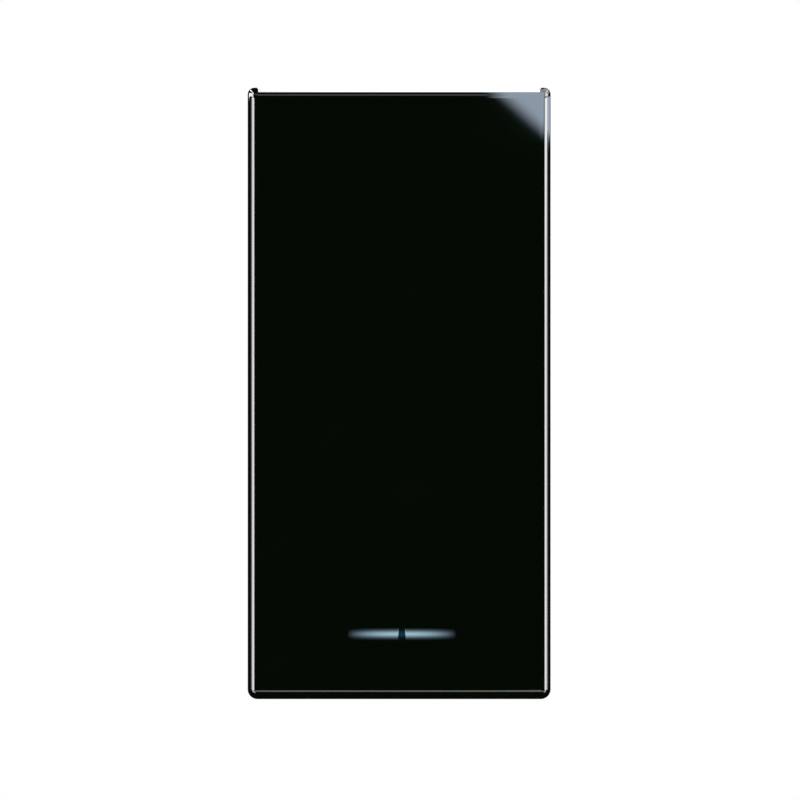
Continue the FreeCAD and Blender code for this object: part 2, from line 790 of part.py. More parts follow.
def chip(x, length, width, height, cap):
    # A small part soldered flat on the front of the board, with its two end caps.
    front_y = board_front_y - height
    body_x = around(light_x + x, width - 2 * chip_lift)
    pieces = [block(body_x, (front_y, board_front_y - chip_lift), around(light_z, length - cap))]
    for end in (-1, 1):
        cap_z = around(light_z + end * (length - cap) / 2, cap)
        pieces.append(block(around(light_x + x, width), (front_y, board_front_y), cap_z))
    return join(pieces)


def lamp_resistor():
    return chip(resistor_x, resistor_length, resistor_width, resistor_height, resistor_cap)


def lamp_diode():
    return chip(diode_x, diode_length, diode_width, diode_height, diode_lead)


def lamp_spring(side):
    x = light_x + side * lamp_spring_offset
    ys = (board_back_y, strip_y)
    return coil("lamp_spring", x, lamp_spring_z, ys, lamp_spring_radius, lamp_spring_wire, lamp_coil_gap)


def build_nodes():
    nodes = {
        "rocker_key": rocker_key(),
        "light_guide": light_guide(),
        "rocker_cradle": rocker_cradle(),
        "plunger": plunger(),
        "plunger_spring": plunger_spring(),
        "front_cover": front_cover(),
        "housing_base": housing_base(),
        "common_strip": common_strip(),
        "contact_strip_1": contact_strip(-1, 1),
        "contact_strip_2": contact_strip(1, -1),
        "fixed_contact_upper": fixed_contact(1),
        "fixed_contact_lower": fixed_contact(-1),
        "contact_lever": contact_lever(),
        "moving_contact_upper": moving_contact(1),
        "moving_contact_lower": moving_contact(-1),
        "lamp_carrier": lamp_carrier(),
        "lamp_board": lamp_board(),
        "lamp_led": lamp_led(),
        "lamp_resistor": lamp_resistor(),
        "lamp_diode": lamp_diode(),
        "lamp_spring_left": lamp_spring(-1),
        "lamp_spring_right": lamp_spring(1),
    }
    for name, side, end in terminals:
        nodes["clamp_spring_" + name] = clamp_spring(side, end)
        nodes["release_lever_" + name] = release_lever(side, end)
    return nodes


def main():
    os.makedirs("parts", exist_ok=True)
    for name, shape in build_nodes().items():
        if not shape.isValid() or len(shape.Solids) != 1:
            print("check", name, "valid", shape.isValid(), "solids", len(shape.Solids))
        shape.exportStep(os.path.join("parts", name + ".step"))
        box = shape.BoundBox
        low = [round(v, 2) for v in (box.XMin, box.YMin, box.ZMin)]
        high = [round(v, 2) for v in (box.XMax, box.YMax, box.ZMax)]
        print(name, low, high, "volume", round(shape.Volume, 2))


main()
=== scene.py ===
import logging
import math
from contextlib import contextmanager
from dataclasses import dataclass
from enum import Enum, IntEnum
from typing import Callable, Iterator, Optional, Self

import bpy
from mathutils import Matrix, Vector


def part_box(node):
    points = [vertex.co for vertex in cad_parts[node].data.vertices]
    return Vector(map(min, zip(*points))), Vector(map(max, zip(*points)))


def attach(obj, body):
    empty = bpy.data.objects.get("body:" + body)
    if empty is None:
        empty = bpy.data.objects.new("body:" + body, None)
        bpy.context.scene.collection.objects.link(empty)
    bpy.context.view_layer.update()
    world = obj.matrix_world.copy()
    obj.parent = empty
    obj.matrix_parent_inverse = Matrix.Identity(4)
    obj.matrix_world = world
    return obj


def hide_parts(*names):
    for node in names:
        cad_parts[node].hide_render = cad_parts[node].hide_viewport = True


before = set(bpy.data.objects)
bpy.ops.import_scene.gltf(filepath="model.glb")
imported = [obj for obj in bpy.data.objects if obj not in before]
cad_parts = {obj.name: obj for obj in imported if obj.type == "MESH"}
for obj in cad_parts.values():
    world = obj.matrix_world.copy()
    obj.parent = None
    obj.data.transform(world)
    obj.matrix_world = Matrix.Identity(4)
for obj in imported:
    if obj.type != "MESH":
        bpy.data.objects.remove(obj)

MM = 0.001
DEPTH = 1
# In millimetres: how far off a point may be and still be meant, how far a cutter reaches past the face that it cuts,
# how far a piece reaches into the one that it is joined to, and how far from the switch the mirrored lamps stand.
SLACK = 0.002
PAST = 1.0
MERGE = 0.1
ARC_REACH = 600.0

Point = tuple[float, float, float]
Rgb = tuple[float, float, float]
Span = tuple[float, float]
Socket = bpy.types.NodeSocket
Material = bpy.types.Material
EdgeTest = Callable[[Vector, Vector], bool]
PointTest = Callable[[Vector], bool]

WHITE: Rgb = (1.0, 1.0, 1.0)

log = logging.getLogger("rocker_switch")


class Axis(Enum):
    """The three directions of the frame: right, into the wall and up."""

    X = 0
    Y = 1
    Z = 2


class Side(IntEnum):
    """The two sides of the switch, seen from the front, by their sign along X."""

    LEFT = -1
    RIGHT = 1


class End(IntEnum):
    """The two ends of the switch, by their sign along Z."""

    LOWER = -1
    UPPER = 1


CORNERS = tuple((side, end) for side in Side for end in End)


class Body(Enum):
    """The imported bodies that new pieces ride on."""

    HOUSING = "housing"
    ROCKER = "rocker"
    RELEASE_COMMON_LEFT = "release_lever_common_left"
    RELEASE_COMMON_RIGHT = "release_lever_common_right"
    RELEASE_1 = "release_lever_1"
    RELEASE_2 = "release_lever_2"


class Part(Enum):
    """The parts of a mesh that an edit tool can act on, with their select mode."""

    POINTS = ("vertices", (True, False, False))
    EDGES = ("edges", (False, True, False))
    FACES = ("polygons", (False, False, True))


def around(middle: float, whole: float) -> Span:
    """The span of a whole length about its middle."""
    return (middle - whole / 2, middle + whole / 2)


def centred(half: float) -> Span:
    """The span of a half length to both sides of the middle."""
    return (-half, half)


def on_side(side: Side | End, first: float, second: float) -> Span:
    """A span measured to the right or upwards, turned to the side or end that is meant."""
    return tuple(sorted((side * first, side * second)))


def parallel(axis: Axis) -> EdgeTest:
    """A test for edges that run along an axis."""
    return lambda a, b: abs((b - a)[axis.value]) > 0.999 * (b - a).length


def in_plane(axis: Axis, value: float) -> EdgeTest:
    """A test for edges that lie in a plane across an axis."""
    return lambda a, b: abs(a[axis.value] - value) < SLACK and abs(b[axis.value] - value) < SLACK


def near(**places: float) -> PointTest:
    """A test for points at the stated places along some of x, y and z."""
    return lambda p: all(abs(getattr(p, key) - value) < SLACK for key, value in places.items())


def edge_in(test: PointTest) -> EdgeTest:
    """A test for edges with both ends where a point test holds."""
    return lambda a, b: test(a) and test(b)


def both(first: EdgeTest, second: EdgeTest) -> EdgeTest:
    """A test that holds where two others do."""
    return lambda a, b: first(a, b) and second(a, b)


def either(first: EdgeTest, second: EdgeTest) -> EdgeTest:
    """A test that holds where one of two others does."""
    return lambda a, b: first(a, b) or second(a, b)


class Workpiece:
    """A mesh shaped with the edit tools, with every size in millimetres."""

    def __init__(self, thing: bpy.types.Object) -> None:
        """Takes over an object whose place is already in its mesh."""
        self.thing = thing

    @classmethod
    def block(cls, name: str, x: Span, y: Span, z: Span) -> Self:
        """A rectangular blank.

        Args:
            name: the name of the new object.
            x: its span to the right.
            y: its span into the wall.
            z: its span upwards.

        Returns:
            The blank.
        """
        middle = [sum(span) / 2 * MM for span in (x, y, z)]
        size = [abs(span[1] - span[0]) * MM for span in (x, y, z)]
        bpy.ops.mesh.primitive_cube_add(size=1, location=middle, scale=size)
        return cls.placed(name)

    @classmethod
    def rounded(cls, name: str, x: Span, y: Span, z: Span, along: Axis, radius: float, segments: int) -> Self:
        """A rectangular blank with its four edges along one axis rounded."""
        return cls.block(name, x, y, z).round_edges(parallel(along), radius, segments)

    @classmethod
    def rod(cls, name: str, radius: float, y: Span, x: float, z: float, tip: Optional[float] = None) -> Self:
        """A round blank along the depth, straight or tapered.

        Args:
            name: the name of the new object.
            radius: its radius at the front.
            y: its span into the wall.
            x: its middle to the right.
            z: its middle upwards.
            tip: its radius at the back, if that differs.

        Returns:
            The blank.
        """
        place = (x * MM, sum(y) / 2 * MM, z * MM)
        back = radius if tip is None else tip
        bpy.ops.mesh.primitive_cone_add(vertices=48, radius1=radius * MM, radius2=back * MM,
                                        depth=abs(y[1] - y[0]) * MM, location=place, rotation=(-math.pi / 2, 0, 0))
        return cls.placed(name)

    @classmethod
    def axle(cls, name: str, radius: float, x: Span, y: float, sides: int) -> Self:
        """A round blank from left to right, at the middle height."""
        bpy.ops.mesh.primitive_cylinder_add(vertices=sides, radius=radius * MM, depth=abs(x[1] - x[0]) * MM,
                                            location=(sum(x) / 2 * MM, y * MM, 0), rotation=(0, math.pi / 2, 0))
        return cls.placed(name)

    @classmethod
    def placed(cls, name: str) -> Self:
        """Names the newly added mesh and puts its place into its points.

        Args:
            name: its name.

        Returns:
            The mesh as a workpiece.
        """
        bpy.ops.object.transform_apply(location=True, rotation=True, scale=True)
        thing = bpy.context.object
        thing.name = name
        thing.data.name = name
        return cls(thing)

    def pick(self) -> None:
        """Makes this piece the only selected one."""
        bpy.ops.object.select_all(action="DESELECT")
        self.thing.select_set(True)
        bpy.context.view_layer.objects.active = self.thing

    @contextmanager
    def _editing(self, part: Part = Part.POINTS, test: Optional[Callable[[object], bool]] = None) -> Iterator[None]:
        """Opens the mesh for an edit tool, with all of it selected or what a test names, then closes it.

        Args:
            part: the parts that the tool acts on.
            test: says of such a part whether it is meant.

        Returns:
            A context in which the mesh is open.
        """
        self.pick()
        collection, mode = part.value
        bpy.context.tool_settings.mesh_select_mode = mode
        bpy.ops.object.mode_set(mode="EDIT")
        bpy.ops.mesh.select_all(action="DESELECT" if test else "SELECT")
        if test:
            bpy.ops.object.mode_set(mode="OBJECT")
            for item in getattr(self.thing.data, collection):
                item.select = test(item)
            bpy.ops.object.mode_set(mode="EDIT")
        yield
        bpy.ops.object.mode_set(mode="OBJECT")

    def round_edges(self, test: EdgeTest, radius: float, segments: int) -> Self:
        """Rounds the edges that a test names.

        Args:
            test: says of an edge's two ends whether it is meant.
            radius: the radius of the round.
            segments: how many strips make the round.

        Returns:
            The piece itself.
        """
        mesh = self.thing.data
        with self._editing(Part.EDGES, lambda edge: test(*(mesh.vertices[end].co / MM for end in edge.vertices))):
            bpy.ops.mesh.bevel(offset=radius * MM, offset_type="OFFSET", segments=segments, profile=0.5,
                               affect="EDGES")
        return self

    def move_points(self, test: PointTest, shift: Point) -> Self:
        """Moves the points that a test names.

        Args:
            test: says of a point whether it is meant.
            shift: how far they move.

        Returns:
            The piece itself.
        """
        with self._editing(Part.POINTS, lambda point: test(point.co / MM)):
            bpy.ops.transform.translate(value=[part * MM for part in shift])
        return self

    def split(self, axis: Axis, value: float) -> Self:
        """Adds edges where a plane across an axis crosses the piece.

        Args:
            axis: the axis that the plane crosses.
            value: where it crosses.

        Returns:
            The piece itself.
        """
        normal = [float(number == axis.value) for number in range(3)]
        with self._editing():
            bpy.ops.mesh.bisect(plane_co=[part * value * MM for part in normal], plane_no=normal)
        return self

    def inset_faces(self, test: PointTest, width: float, rise: float) -> Self:
        """Insets the faces that a test names.

        Args:
            test: says of a face's normal whether it is meant.
            width: the width of the border.
            rise: how far the inner face moves outwards.

        Returns:
            The piece itself.
        """
        with self._editing(Part.FACES, lambda face: test(face.normal)):
            bpy.ops.mesh.inset(thickness=width * MM, depth=rise * MM)
        return self

    def modify(self, kind: str, **settings: object) -> Self:
        """Adds a modifier and applies it.

        Args:
            kind: the modifier's type.
            settings: its settings by name.

        Returns:
            The piece itself.
        """
        self.pick()
        modifier = self.thing.modifiers.new(kind.lower(), kind)
        for key, value in settings.items():
            setattr(modifier, key, value)
        bpy.ops.object.modifier_apply(modifier=modifier.name)
        return self

    def _combine(self, tools: tuple[Self, ...], operation: str) -> Self:
        """Joins or cuts with other pieces, which are used up.

        Args:
            tools: the other pieces.
            operation: the boolean's name.

        Returns:
            The piece itself.
        """
        for tool in tools:
            self.modify("BOOLEAN", operation=operation, solver="EXACT", object=tool.thing)
            mesh = tool.thing.data
            bpy.data.objects.remove(tool.thing)
            bpy.data.meshes.remove(mesh)
        return self

    def cut(self, *tools: Self) -> Self:
        """Cuts other pieces away from this one, and returns it."""
        return self._combine(tools, "DIFFERENCE")

    def fuse(self, *tools: Self) -> Self:
        """Joins other pieces to this one, and returns it."""
        return self._combine(tools, "UNION")

    def close(self) -> Self:
        """Closes the seams between faces that only touch, and turns all faces outwards.

        Returns:
            The piece itself.
        """
        with self._editing():
            bpy.ops.mesh.remove_doubles(threshold=0.0005 * MM)
            bpy.ops.mesh.dissolve_limited(angle_limit=math.radians(0.2))
            bpy.ops.mesh.normals_make_consistent(inside=False)
        return self

    def smooth(self, sharp_past: float = 32.0) -> Self:
        """Shades the rounds smoothly and keeps flat faces flat.

        Args:
            sharp_past: the angle in degrees past which an edge stays sharp.

        Returns:
            The piece itself.
        """
        self.pick()
        bpy.ops.object.shade_smooth_by_angle(angle=math.radians(sharp_past), keep_sharp_edges=False)
        return self.modify("WEIGHTED_NORMAL", keep_sharp=True)

    def copy(self, name: str, flip_x: bool, flip_z: bool) -> Self:
        """A copy with its own mesh, mirrored where that is asked.

        Args:
            name: the name of the copy.
            flip_x: whether it is mirrored left to right.
            flip_z: whether it is mirrored top to bottom.

        Returns:
            The copy.
        """
        thing = self.thing.copy()
        thing.data = self.thing.data.copy()
        thing.name = name
        thing.data.name = name
        bpy.context.scene.collection.objects.link(thing)
        piece = Workpiece(thing)
        piece.pick()
        thing.scale = (-1 if flip_x else 1, 1, -1 if flip_z else 1)
        bpy.ops.object.transform_apply(location=True, rotation=True, scale=True)
        if flip_x != flip_z:
            with piece._editing():
                bpy.ops.mesh.normals_make_consistent(inside=False)
        return piece

    def hand_over(self, body: Body, slot: str, material: Material, *nodes: str) -> None:
        """Dresses the finished piece and fixes it to its body.

        Args:
            body: the body it rides on.
            slot: the record's material slot; not used.
            material: its finish.
            nodes: the CAD nodes it stands for.
        """
        self.thing.data.materials.clear()
        self.thing.data.materials.append(material)
        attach(self.thing, body.value)
        if nodes:
            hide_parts(*nodes)
        log.info("%s: %d faces", self.thing.name, len(self.thing.data.polygons))


class NodeSheet:
    """The nodes of a lamp, of the world or of a finish."""

    def __init__(self, tree: bpy.types.NodeTree) -> None:
        """Starts an empty sheet."""
        self.tree = tree
        tree.nodes.clear()

    def add(self, kind: str, inputs: Optional[dict] = None, **settings: object) -> bpy.types.Node:
        """Adds a node.

        Args:
            kind: the node's type without its common first word.
            inputs: values or sockets by input name or number.
            settings: the node's own settings by name.

        Returns:
            The node.
        """
        node = self.tree.nodes.new("ShaderNode" + kind)
        for key, value in settings.items():
            setattr(node, key, value)
        for key, value in (inputs or {}).items():
            self.feed(node.inputs[key], value)
        return node

    def feed(self, socket: Socket, value: object) -> None:
        """Links a socket to another one, or sets it to a value or an opaque colour."""
        if isinstance(value, Socket):
            self.tree.links.new(value, socket)
        else:
            socket.default_value = (*value, 1.0) if socket.type == "RGBA" and len(value) == 3 else value

    def math(self, operation: str, *values: object) -> Socket:
        """A calculation on values or sockets, and its result."""
        return self.add("Math", dict(enumerate(values)), operation=operation).outputs[0]

    def parts(self, vector: Socket) -> bpy.types.bpy_prop_collection:
        """The three parts of a vector."""
        return self.add("SeparateXYZ", {0: vector}).outputs

    def fade(self, value: Socket, start: float, end: float, low: float = 0.0, high: float = 1.0,
             soft: bool = True) -> Socket:
        """Maps a value's range onto another one.

        Args:
            value: the value.
            start: where it starts.
            end: where it ends.
            low: the result at the start.
            high: the result at the end.
            soft: whether it starts and ends softly.

        Returns:
            The mapped value.
        """
        inputs = {"Value": value, "From Min": start, "From Max": end, "To Min": low, "To Max": high}
        kind = "SMOOTHSTEP" if soft else "LINEAR"
        return self.add("MapRange", inputs, interpolation_type=kind).outputs[0]


class FinishSheet(NodeSheet):
    """A material's nodes, read in millimetres of the piece itself."""

    def __init__(self, name: str) -> None:
        """Starts a material with one principled shader.

        Args:
            name: the material's name.
        """
        self.material = bpy.data.materials.new(name)
        self.material.use_nodes = True
        super().__init__(self.material.node_tree)
        self.shader = self.add("BsdfPrincipled")
        self.output = self.add("OutputMaterial", {"Surface": self.shader.outputs[0]})

    def place(self, stretch: Point = (1, 1, 1), centre: Point = (0, 0, 0)) -> Socket:
        """The piece's own coordinates in millimetres.

        Args:
            stretch: how much faster a pattern runs along each axis.
            centre: the point that becomes the middle.

        Returns:
            The vector socket.
        """
        spot = self.add("TexCoord").outputs["Object"]
        scale = [part / MM for part in stretch]
        shift = [-part * run for part, run in zip(centre, stretch)]
        return self.add("Mapping", {"Vector": spot, "Scale": scale, "Location": shift}).outputs[0]

    def noise(self, per_mm: float, vector: Socket, detail: float = 2.0) -> Socket:
        """A soft random pattern about 0.5, with so many features a millimetre and so many finer layers."""
        return self.add("TexNoise", {"Vector": vector, "Scale": per_mm, "Detail": detail}).outputs[0]

    def spread(self, noise: Socket, low: float, high: float) -> Socket:
        """Maps the middle half of a noise onto a range."""
        return self.fade(noise, 0.25, 0.75, low, high, soft=False)

    def blend(self, share: object, first: object, second: object, mode: str = "MIX") -> Socket:
        """Mixes two colours.

        Args:
            share: how much of the second colour shows.
            first: the first colour, as a value or a socket.
            second: the second colour, as a value or a socket.
            mode: how they mix.

        Returns:
            The mixed colour.
        """
        inputs = {0: share, 6: first, 7: second}
        return self.add("Mix", inputs, data_type="RGBA", blend_type=mode).outputs[2]

    def relief(self, height: Socket, depth: float) -> None:
        """Gives the surface a fine relief from a pattern, of a depth in millimetres."""
        self.set(Normal=self.add("Bump", {"Height": height, "Strength": 1.0, "Distance": depth * MM}).outputs[0])

    def set(self, **inputs: object) -> None:
        """Sets or links the shader's inputs by name, with underscores for spaces."""
        for key, value in inputs.items():
            self.feed(self.shader.inputs[key.replace("_", " ")], value)


@dataclass(frozen=True)
class Band:
    """A box of a piece that carries another colour, such as a stamped mark or a tinned cap."""

    colour: Rgb
    middle: Point
    half: Point
    soft: float = 0.04

    def share(self, sheet: FinishSheet) -> Socket:
        """How much of the band's colour shows at each point.

        Args:
            sheet: the nodes of the finish.

        Returns:
            The share.
        """
        total = None
        for part, half in zip(sheet.parts(sheet.place(centre=self.middle)), self.half):
            within = sheet.fade(sheet.math("ABSOLUTE", part), half + self.soft, half, soft=False)
            total = within if total is None else sheet.math("MULTIPLY", total, within)
        return total


@dataclass(frozen=True)
class MouldedPlastic:
    """Moulded plastic with a spark-eroded skin and slightly uneven colour."""

    name: str
    colour: Rgb
    roughness: float = 0.46
    mottle: float = 0.12
    grain_per_mm: float = 7.0
    grain_depth: float = 0.004
    bands: tuple[Band, ...] = ()
    cloud_per_mm: float = 0.35
    layers: float = 3.0
    pits: Span = (0.9, 1.06)
    wear: Span = (-0.05, 0.06)

    def make(self) -> Material:
        """Builds the material.

        Returns:
            The material.
        """
        sheet = FinishSheet(self.name)
        spot = sheet.place()
        cloud = sheet.noise(self.cloud_per_mm, spot, self.layers)
        grain = sheet.noise(self.grain_per_mm, spot, self.layers)
        dark, light = (tuple(min(1.0, part * (1 + change)) for part in self.colour) for change in centred(self.mottle))
        base = sheet.blend(sheet.spread(cloud, 0.0, 1.0), dark, light)
        for band in self.bands:
            base = sheet.blend(band.share(sheet), base, band.colour)
        sheet.set(Base_Color=sheet.blend(1.0, base, sheet.spread(grain, *self.pits), "MULTIPLY"))
        sheet.set(Roughness=sheet.spread(cloud, *(self.roughness + part for part in self.wear)))
        sheet.relief(grain, self.grain_depth)
        return sheet.material


@dataclass(frozen=True)
class Glow:
    """The light of the lamp behind the key, which fades from the rib between the two bars."""

    colour: Rgb = (0.330, 0.500, 0.605)
    rib_colour: Rgb = (0.0075, 0.031, 0.0595)
    middle: Point = (0.2, -10.0, -17.676)
    half_length: float = 4.05
    spread: float = 0.208
    rise_power: float = 2.2
    tip_power: float = 1.4

    def across(self, sheet: FinishSheet) -> Socket:
        """The share of the glow by the height above or below the bars' middle line."""
        height = sheet.parts(sheet.place(stretch=(0, 0, 1 / self.spread), centre=self.middle))[2]
        return sheet.math("EXPONENT", sheet.math("MULTIPLY", sheet.math("MULTIPLY", height, height), -1.0))

    def along(self, sheet: FinishSheet) -> Socket:
        """The share of the glow by the distance from the rib.

        Args:
            sheet: the nodes of the finish.

        Returns:
            The share.
        """
        side = sheet.parts(sheet.place(stretch=(1 / self.half_length, 0, 0), centre=self.middle))[0]
        fallen = sheet.math("POWER", sheet.math("ABSOLUTE", side), self.rise_power)
        rest = sheet.add("Math", {0: 1.0, 1: fallen}, operation="SUBTRACT", use_clamp=True)
        return sheet.math("POWER", rest.outputs[0], self.tip_power)


@dataclass(frozen=True)
class GlossShell:
    """Polished near-black plastic that lets a little light through the rib between the bars."""

    name: str
    colour: Rgb = (0.0016, 0.0050, 0.0012)
    roughness: float = 0.021
    glow: Glow = Glow()
    rib_half: float = 0.3
    rib_soft: float = 0.12
    haze_per_mm: float = 0.22
    haze_share: float = 0.7
    deep_share: float = 0.8
    polish_per_mm: float = 30.0
    polish_stretch: Point = (1, 1, 0.12)
    polish_share: float = 0.3
    wear: Span = (-0.005, 0.006)
    ripple_per_mm: float = 0.12
    ripple_depth: float = 0.0012

    def make(self) -> Material:
        """Builds the material.

        Returns:
            The material.
        """
        sheet = FinishSheet(self.name)
        spot = sheet.place()
        haze = sheet.noise(self.haze_per_mm, spot, detail=4.0)
        polish = sheet.noise(self.polish_per_mm, sheet.place(stretch=self.polish_stretch))
        mixed = sheet.math("ADD", sheet.math("MULTIPLY", haze, self.haze_share),
                           sheet.math("MULTIPLY", polish, self.polish_share))
        sheet.set(Roughness=sheet.spread(mixed, *(self.roughness + part for part in self.wear)))
        deep = tuple(part * self.deep_share for part in self.colour)
        sheet.set(Base_Color=sheet.blend(sheet.spread(haze, 0.0, 1.0), deep, self.colour))
        far = sheet.math("ABSOLUTE", sheet.parts(sheet.place(centre=self.glow.middle))[0])
        in_rib = sheet.fade(far, self.rib_half + self.rib_soft, self.rib_half - self.rib_soft)
        lit = sheet.math("MULTIPLY", in_rib, self.glow.across(sheet))
        sheet.set(Emission_Color=self.glow.rib_colour, Emission_Strength=lit)
        sheet.relief(sheet.noise(self.ripple_per_mm, spot, detail=1.0), self.ripple_depth)
        return sheet.material


@dataclass(frozen=True)
class LitGuide:
    """Smoked clear plastic lit from behind, brightest beside the middle rib."""

    name: str
    clear: Rgb = (0.004, 0.006, 0.007)
    glow: Glow = Glow()
    cloud_per_mm: float = 5.0
    frost: Span = (0.96, 1.03)
    deep_share: float = 0.6
    roughness: Span = (0.05, 0.08)
    relief_per_mm: float = 4.0
    relief_depth: float = 0.0015

    def make(self) -> Material:
        """Builds the material.

        Returns:
            The material.
        """
        sheet = FinishSheet(self.name)
        spot = sheet.place()
        cloud = sheet.noise(self.cloud_per_mm, spot)
        shares = sheet.math("MULTIPLY", self.glow.along(sheet), self.glow.across(sheet))
        frost = sheet.spread(cloud, *self.frost)
        dark = tuple(part * self.deep_share for part in self.clear)
        sheet.set(Base_Color=sheet.blend(sheet.spread(cloud, 0.0, 1.0), dark, self.clear))
        sheet.set(Emission_Color=self.glow.colour, Emission_Strength=sheet.math("MULTIPLY", shares, frost))
        sheet.set(Roughness=sheet.spread(cloud, *self.roughness), Specular_IOR_Level=0.3)
        sheet.relief(sheet.noise(self.relief_per_mm, spot), self.relief_depth)
        return sheet.material


@dataclass(frozen=True)
class StampedMetal:
    """Metal with streaks from rolling or drawing and a faint tarnish."""

    name: str
    colour: Rgb
    tarnish: Rgb
    roughness: float
    streaks: Point
    cloud_per_mm: float = 0.3
    tarnish_share: float = 0.7
    shine: Span = (0.86, 1.08)
    wear: Span = (-0.08, 0.1)
    streak_depth: float = 0.002

    def make(self) -> Material:
        """Builds the material.

        Returns:
            The material.
        """
        sheet = FinishSheet(self.name)
        streak = sheet.noise(1.0, sheet.place(stretch=self.streaks), detail=4.0)
        cloud = sheet.noise(self.cloud_per_mm, sheet.place(), detail=3.0)
        worn = sheet.blend(sheet.spread(cloud, 0.0, self.tarnish_share), self.colour, self.tarnish)
        sheet.set(Base_Color=sheet.blend(1.0, worn, sheet.spread(streak, *self.shine), "MULTIPLY"))
        sheet.set(Metallic=1.0, Roughness=sheet.spread(streak, *(self.roughness + part for part in self.wear)))
        sheet.relief(streak, self.streak_depth)
        return sheet.material


@dataclass(frozen=True)
class Slant:
    """A lamp's lower edge that climbs towards one side, in shares of the lamp's width and height."""

    climb: float
    start: float
    limits: Span

    def weigh(self, sheet: NodeSheet, parts: bpy.types.bpy_prop_collection) -> Socket:
        """How far past the slanted edge a place on the lamp is, from its parts across and up."""
        across, up = (sheet.math("MINIMUM", part, limit) for part, limit in zip(parts, self.limits))
        return sheet.math("MULTIPLY_ADD", across, self.climb, up)


@dataclass(frozen=True)
class Softbox:
    """A rectangular lamp of stated radiance, aimed at a point near the switch."""

    name: str
    place: Point
    width: float
    height: float
    radiance: float
    tint: Rgb = WHITE
    lighting: bool = False
    across: Point = (1.0, 0.0, 0.0)
    target: Point = (0.0, 0.0, 0.0)
    soft_share: float = 0.0
    slant: Optional[Slant] = None

    @classmethod
    def on_arc(cls, name: str, clock: float, polar: Span, width: float, radiance: float, tint: Rgb = WHITE,
               rise: float = 0.0, soft_share: float = 0.0) -> Self:
        """A lamp that only the gloss mirrors, placed by its direction from the switch.

        Args:
            name: its name.
            clock: the angle in degrees about the view axis, from the right over the top.
            polar: the angles in degrees from the view axis that it spans.
            width: its size along the clock direction.
            radiance: how bright it is.
            tint: its colour.
            rise: how far it is lifted from its place on the arc.
            soft_share: the share of its height over which its lower edge fades.

        Returns:
            The lamp.
        """
        turn = math.radians(clock)
        lean = math.radians(sum(polar) / 2)
        outward = (math.cos(lean) * math.cos(turn), math.sin(lean), math.cos(lean) * math.sin(turn))
        side = ARC_REACH * math.sin(lean) * math.cos(turn)
        up = ARC_REACH * math.sin(lean) * math.sin(turn) + rise
        length = 2 * ARC_REACH * math.tan(math.radians(abs(polar[1] - polar[0]) / 2))
        return cls(name, (side, -ARC_REACH * math.cos(lean), up), length, width, radiance, tint=tint,
                   across=outward, target=(0.0, 0.0, rise), soft_share=soft_share)

    @classmethod
    def facing(cls, name: str, place: Point, width: float, height: float, radiance: float, tint: Rgb = WHITE,
               soft_share: float = 0.0, slant: Optional[Slant] = None) -> Self:
        """A lamp beside the camera that faces the wall squarely, with the fields of its name."""
        return cls(name, place, width, height, radiance, tint, target=(place[0], 0.0, place[2]),
                   soft_share=soft_share, slant=slant)

    def set_up(self, lit: bpy.types.Collection) -> None:
        """Adds the lamp.

        Args:
            lit: the objects that it lights.
        """
        bpy.ops.object.light_add(type="AREA", location=[part * MM for part in self.place])
        lamp = bpy.context.object
        lamp.name = self.name
        lamp.data.shape = "RECTANGLE"
        lamp.data.size = self.width * MM
        lamp.data.size_y = self.height * MM
        lamp.data.energy = self.radiance * math.pi * self.width * self.height * MM * MM
        lamp.data.color = self.tint
        away = (Vector(self.place) - Vector(self.target)).normalized()
        upward = away.cross(Vector(self.across)).normalized()
        lamp.rotation_euler = Matrix((upward.cross(away), upward, away)).transposed().to_euler()
        lamp.visible_camera = False
        lamp.visible_diffuse = self.lighting
        lamp.light_linking.receiver_collection = lit
        if self.soft_share:
            self._soften(lamp.data)

    def _soften(self, lamp: bpy.types.Light) -> None:
        """Fades the lamp towards its lower edge, which may slant.

        Args:
            lamp: the lamp.
        """
        lamp.use_nodes = True
        sheet = NodeSheet(lamp.node_tree)
        parts = sheet.parts(sheet.add("NewGeometry").outputs["Parametric"])
        height = self.slant.weigh(sheet, parts) if self.slant else parts[1]
        start = self.slant.start if self.slant else 0.0
        light = sheet.add("Emission", {"Strength": sheet.fade(height, start, start + self.soft_share)})
        sheet.add("OutputLight", {"Surface": light.outputs[0]})


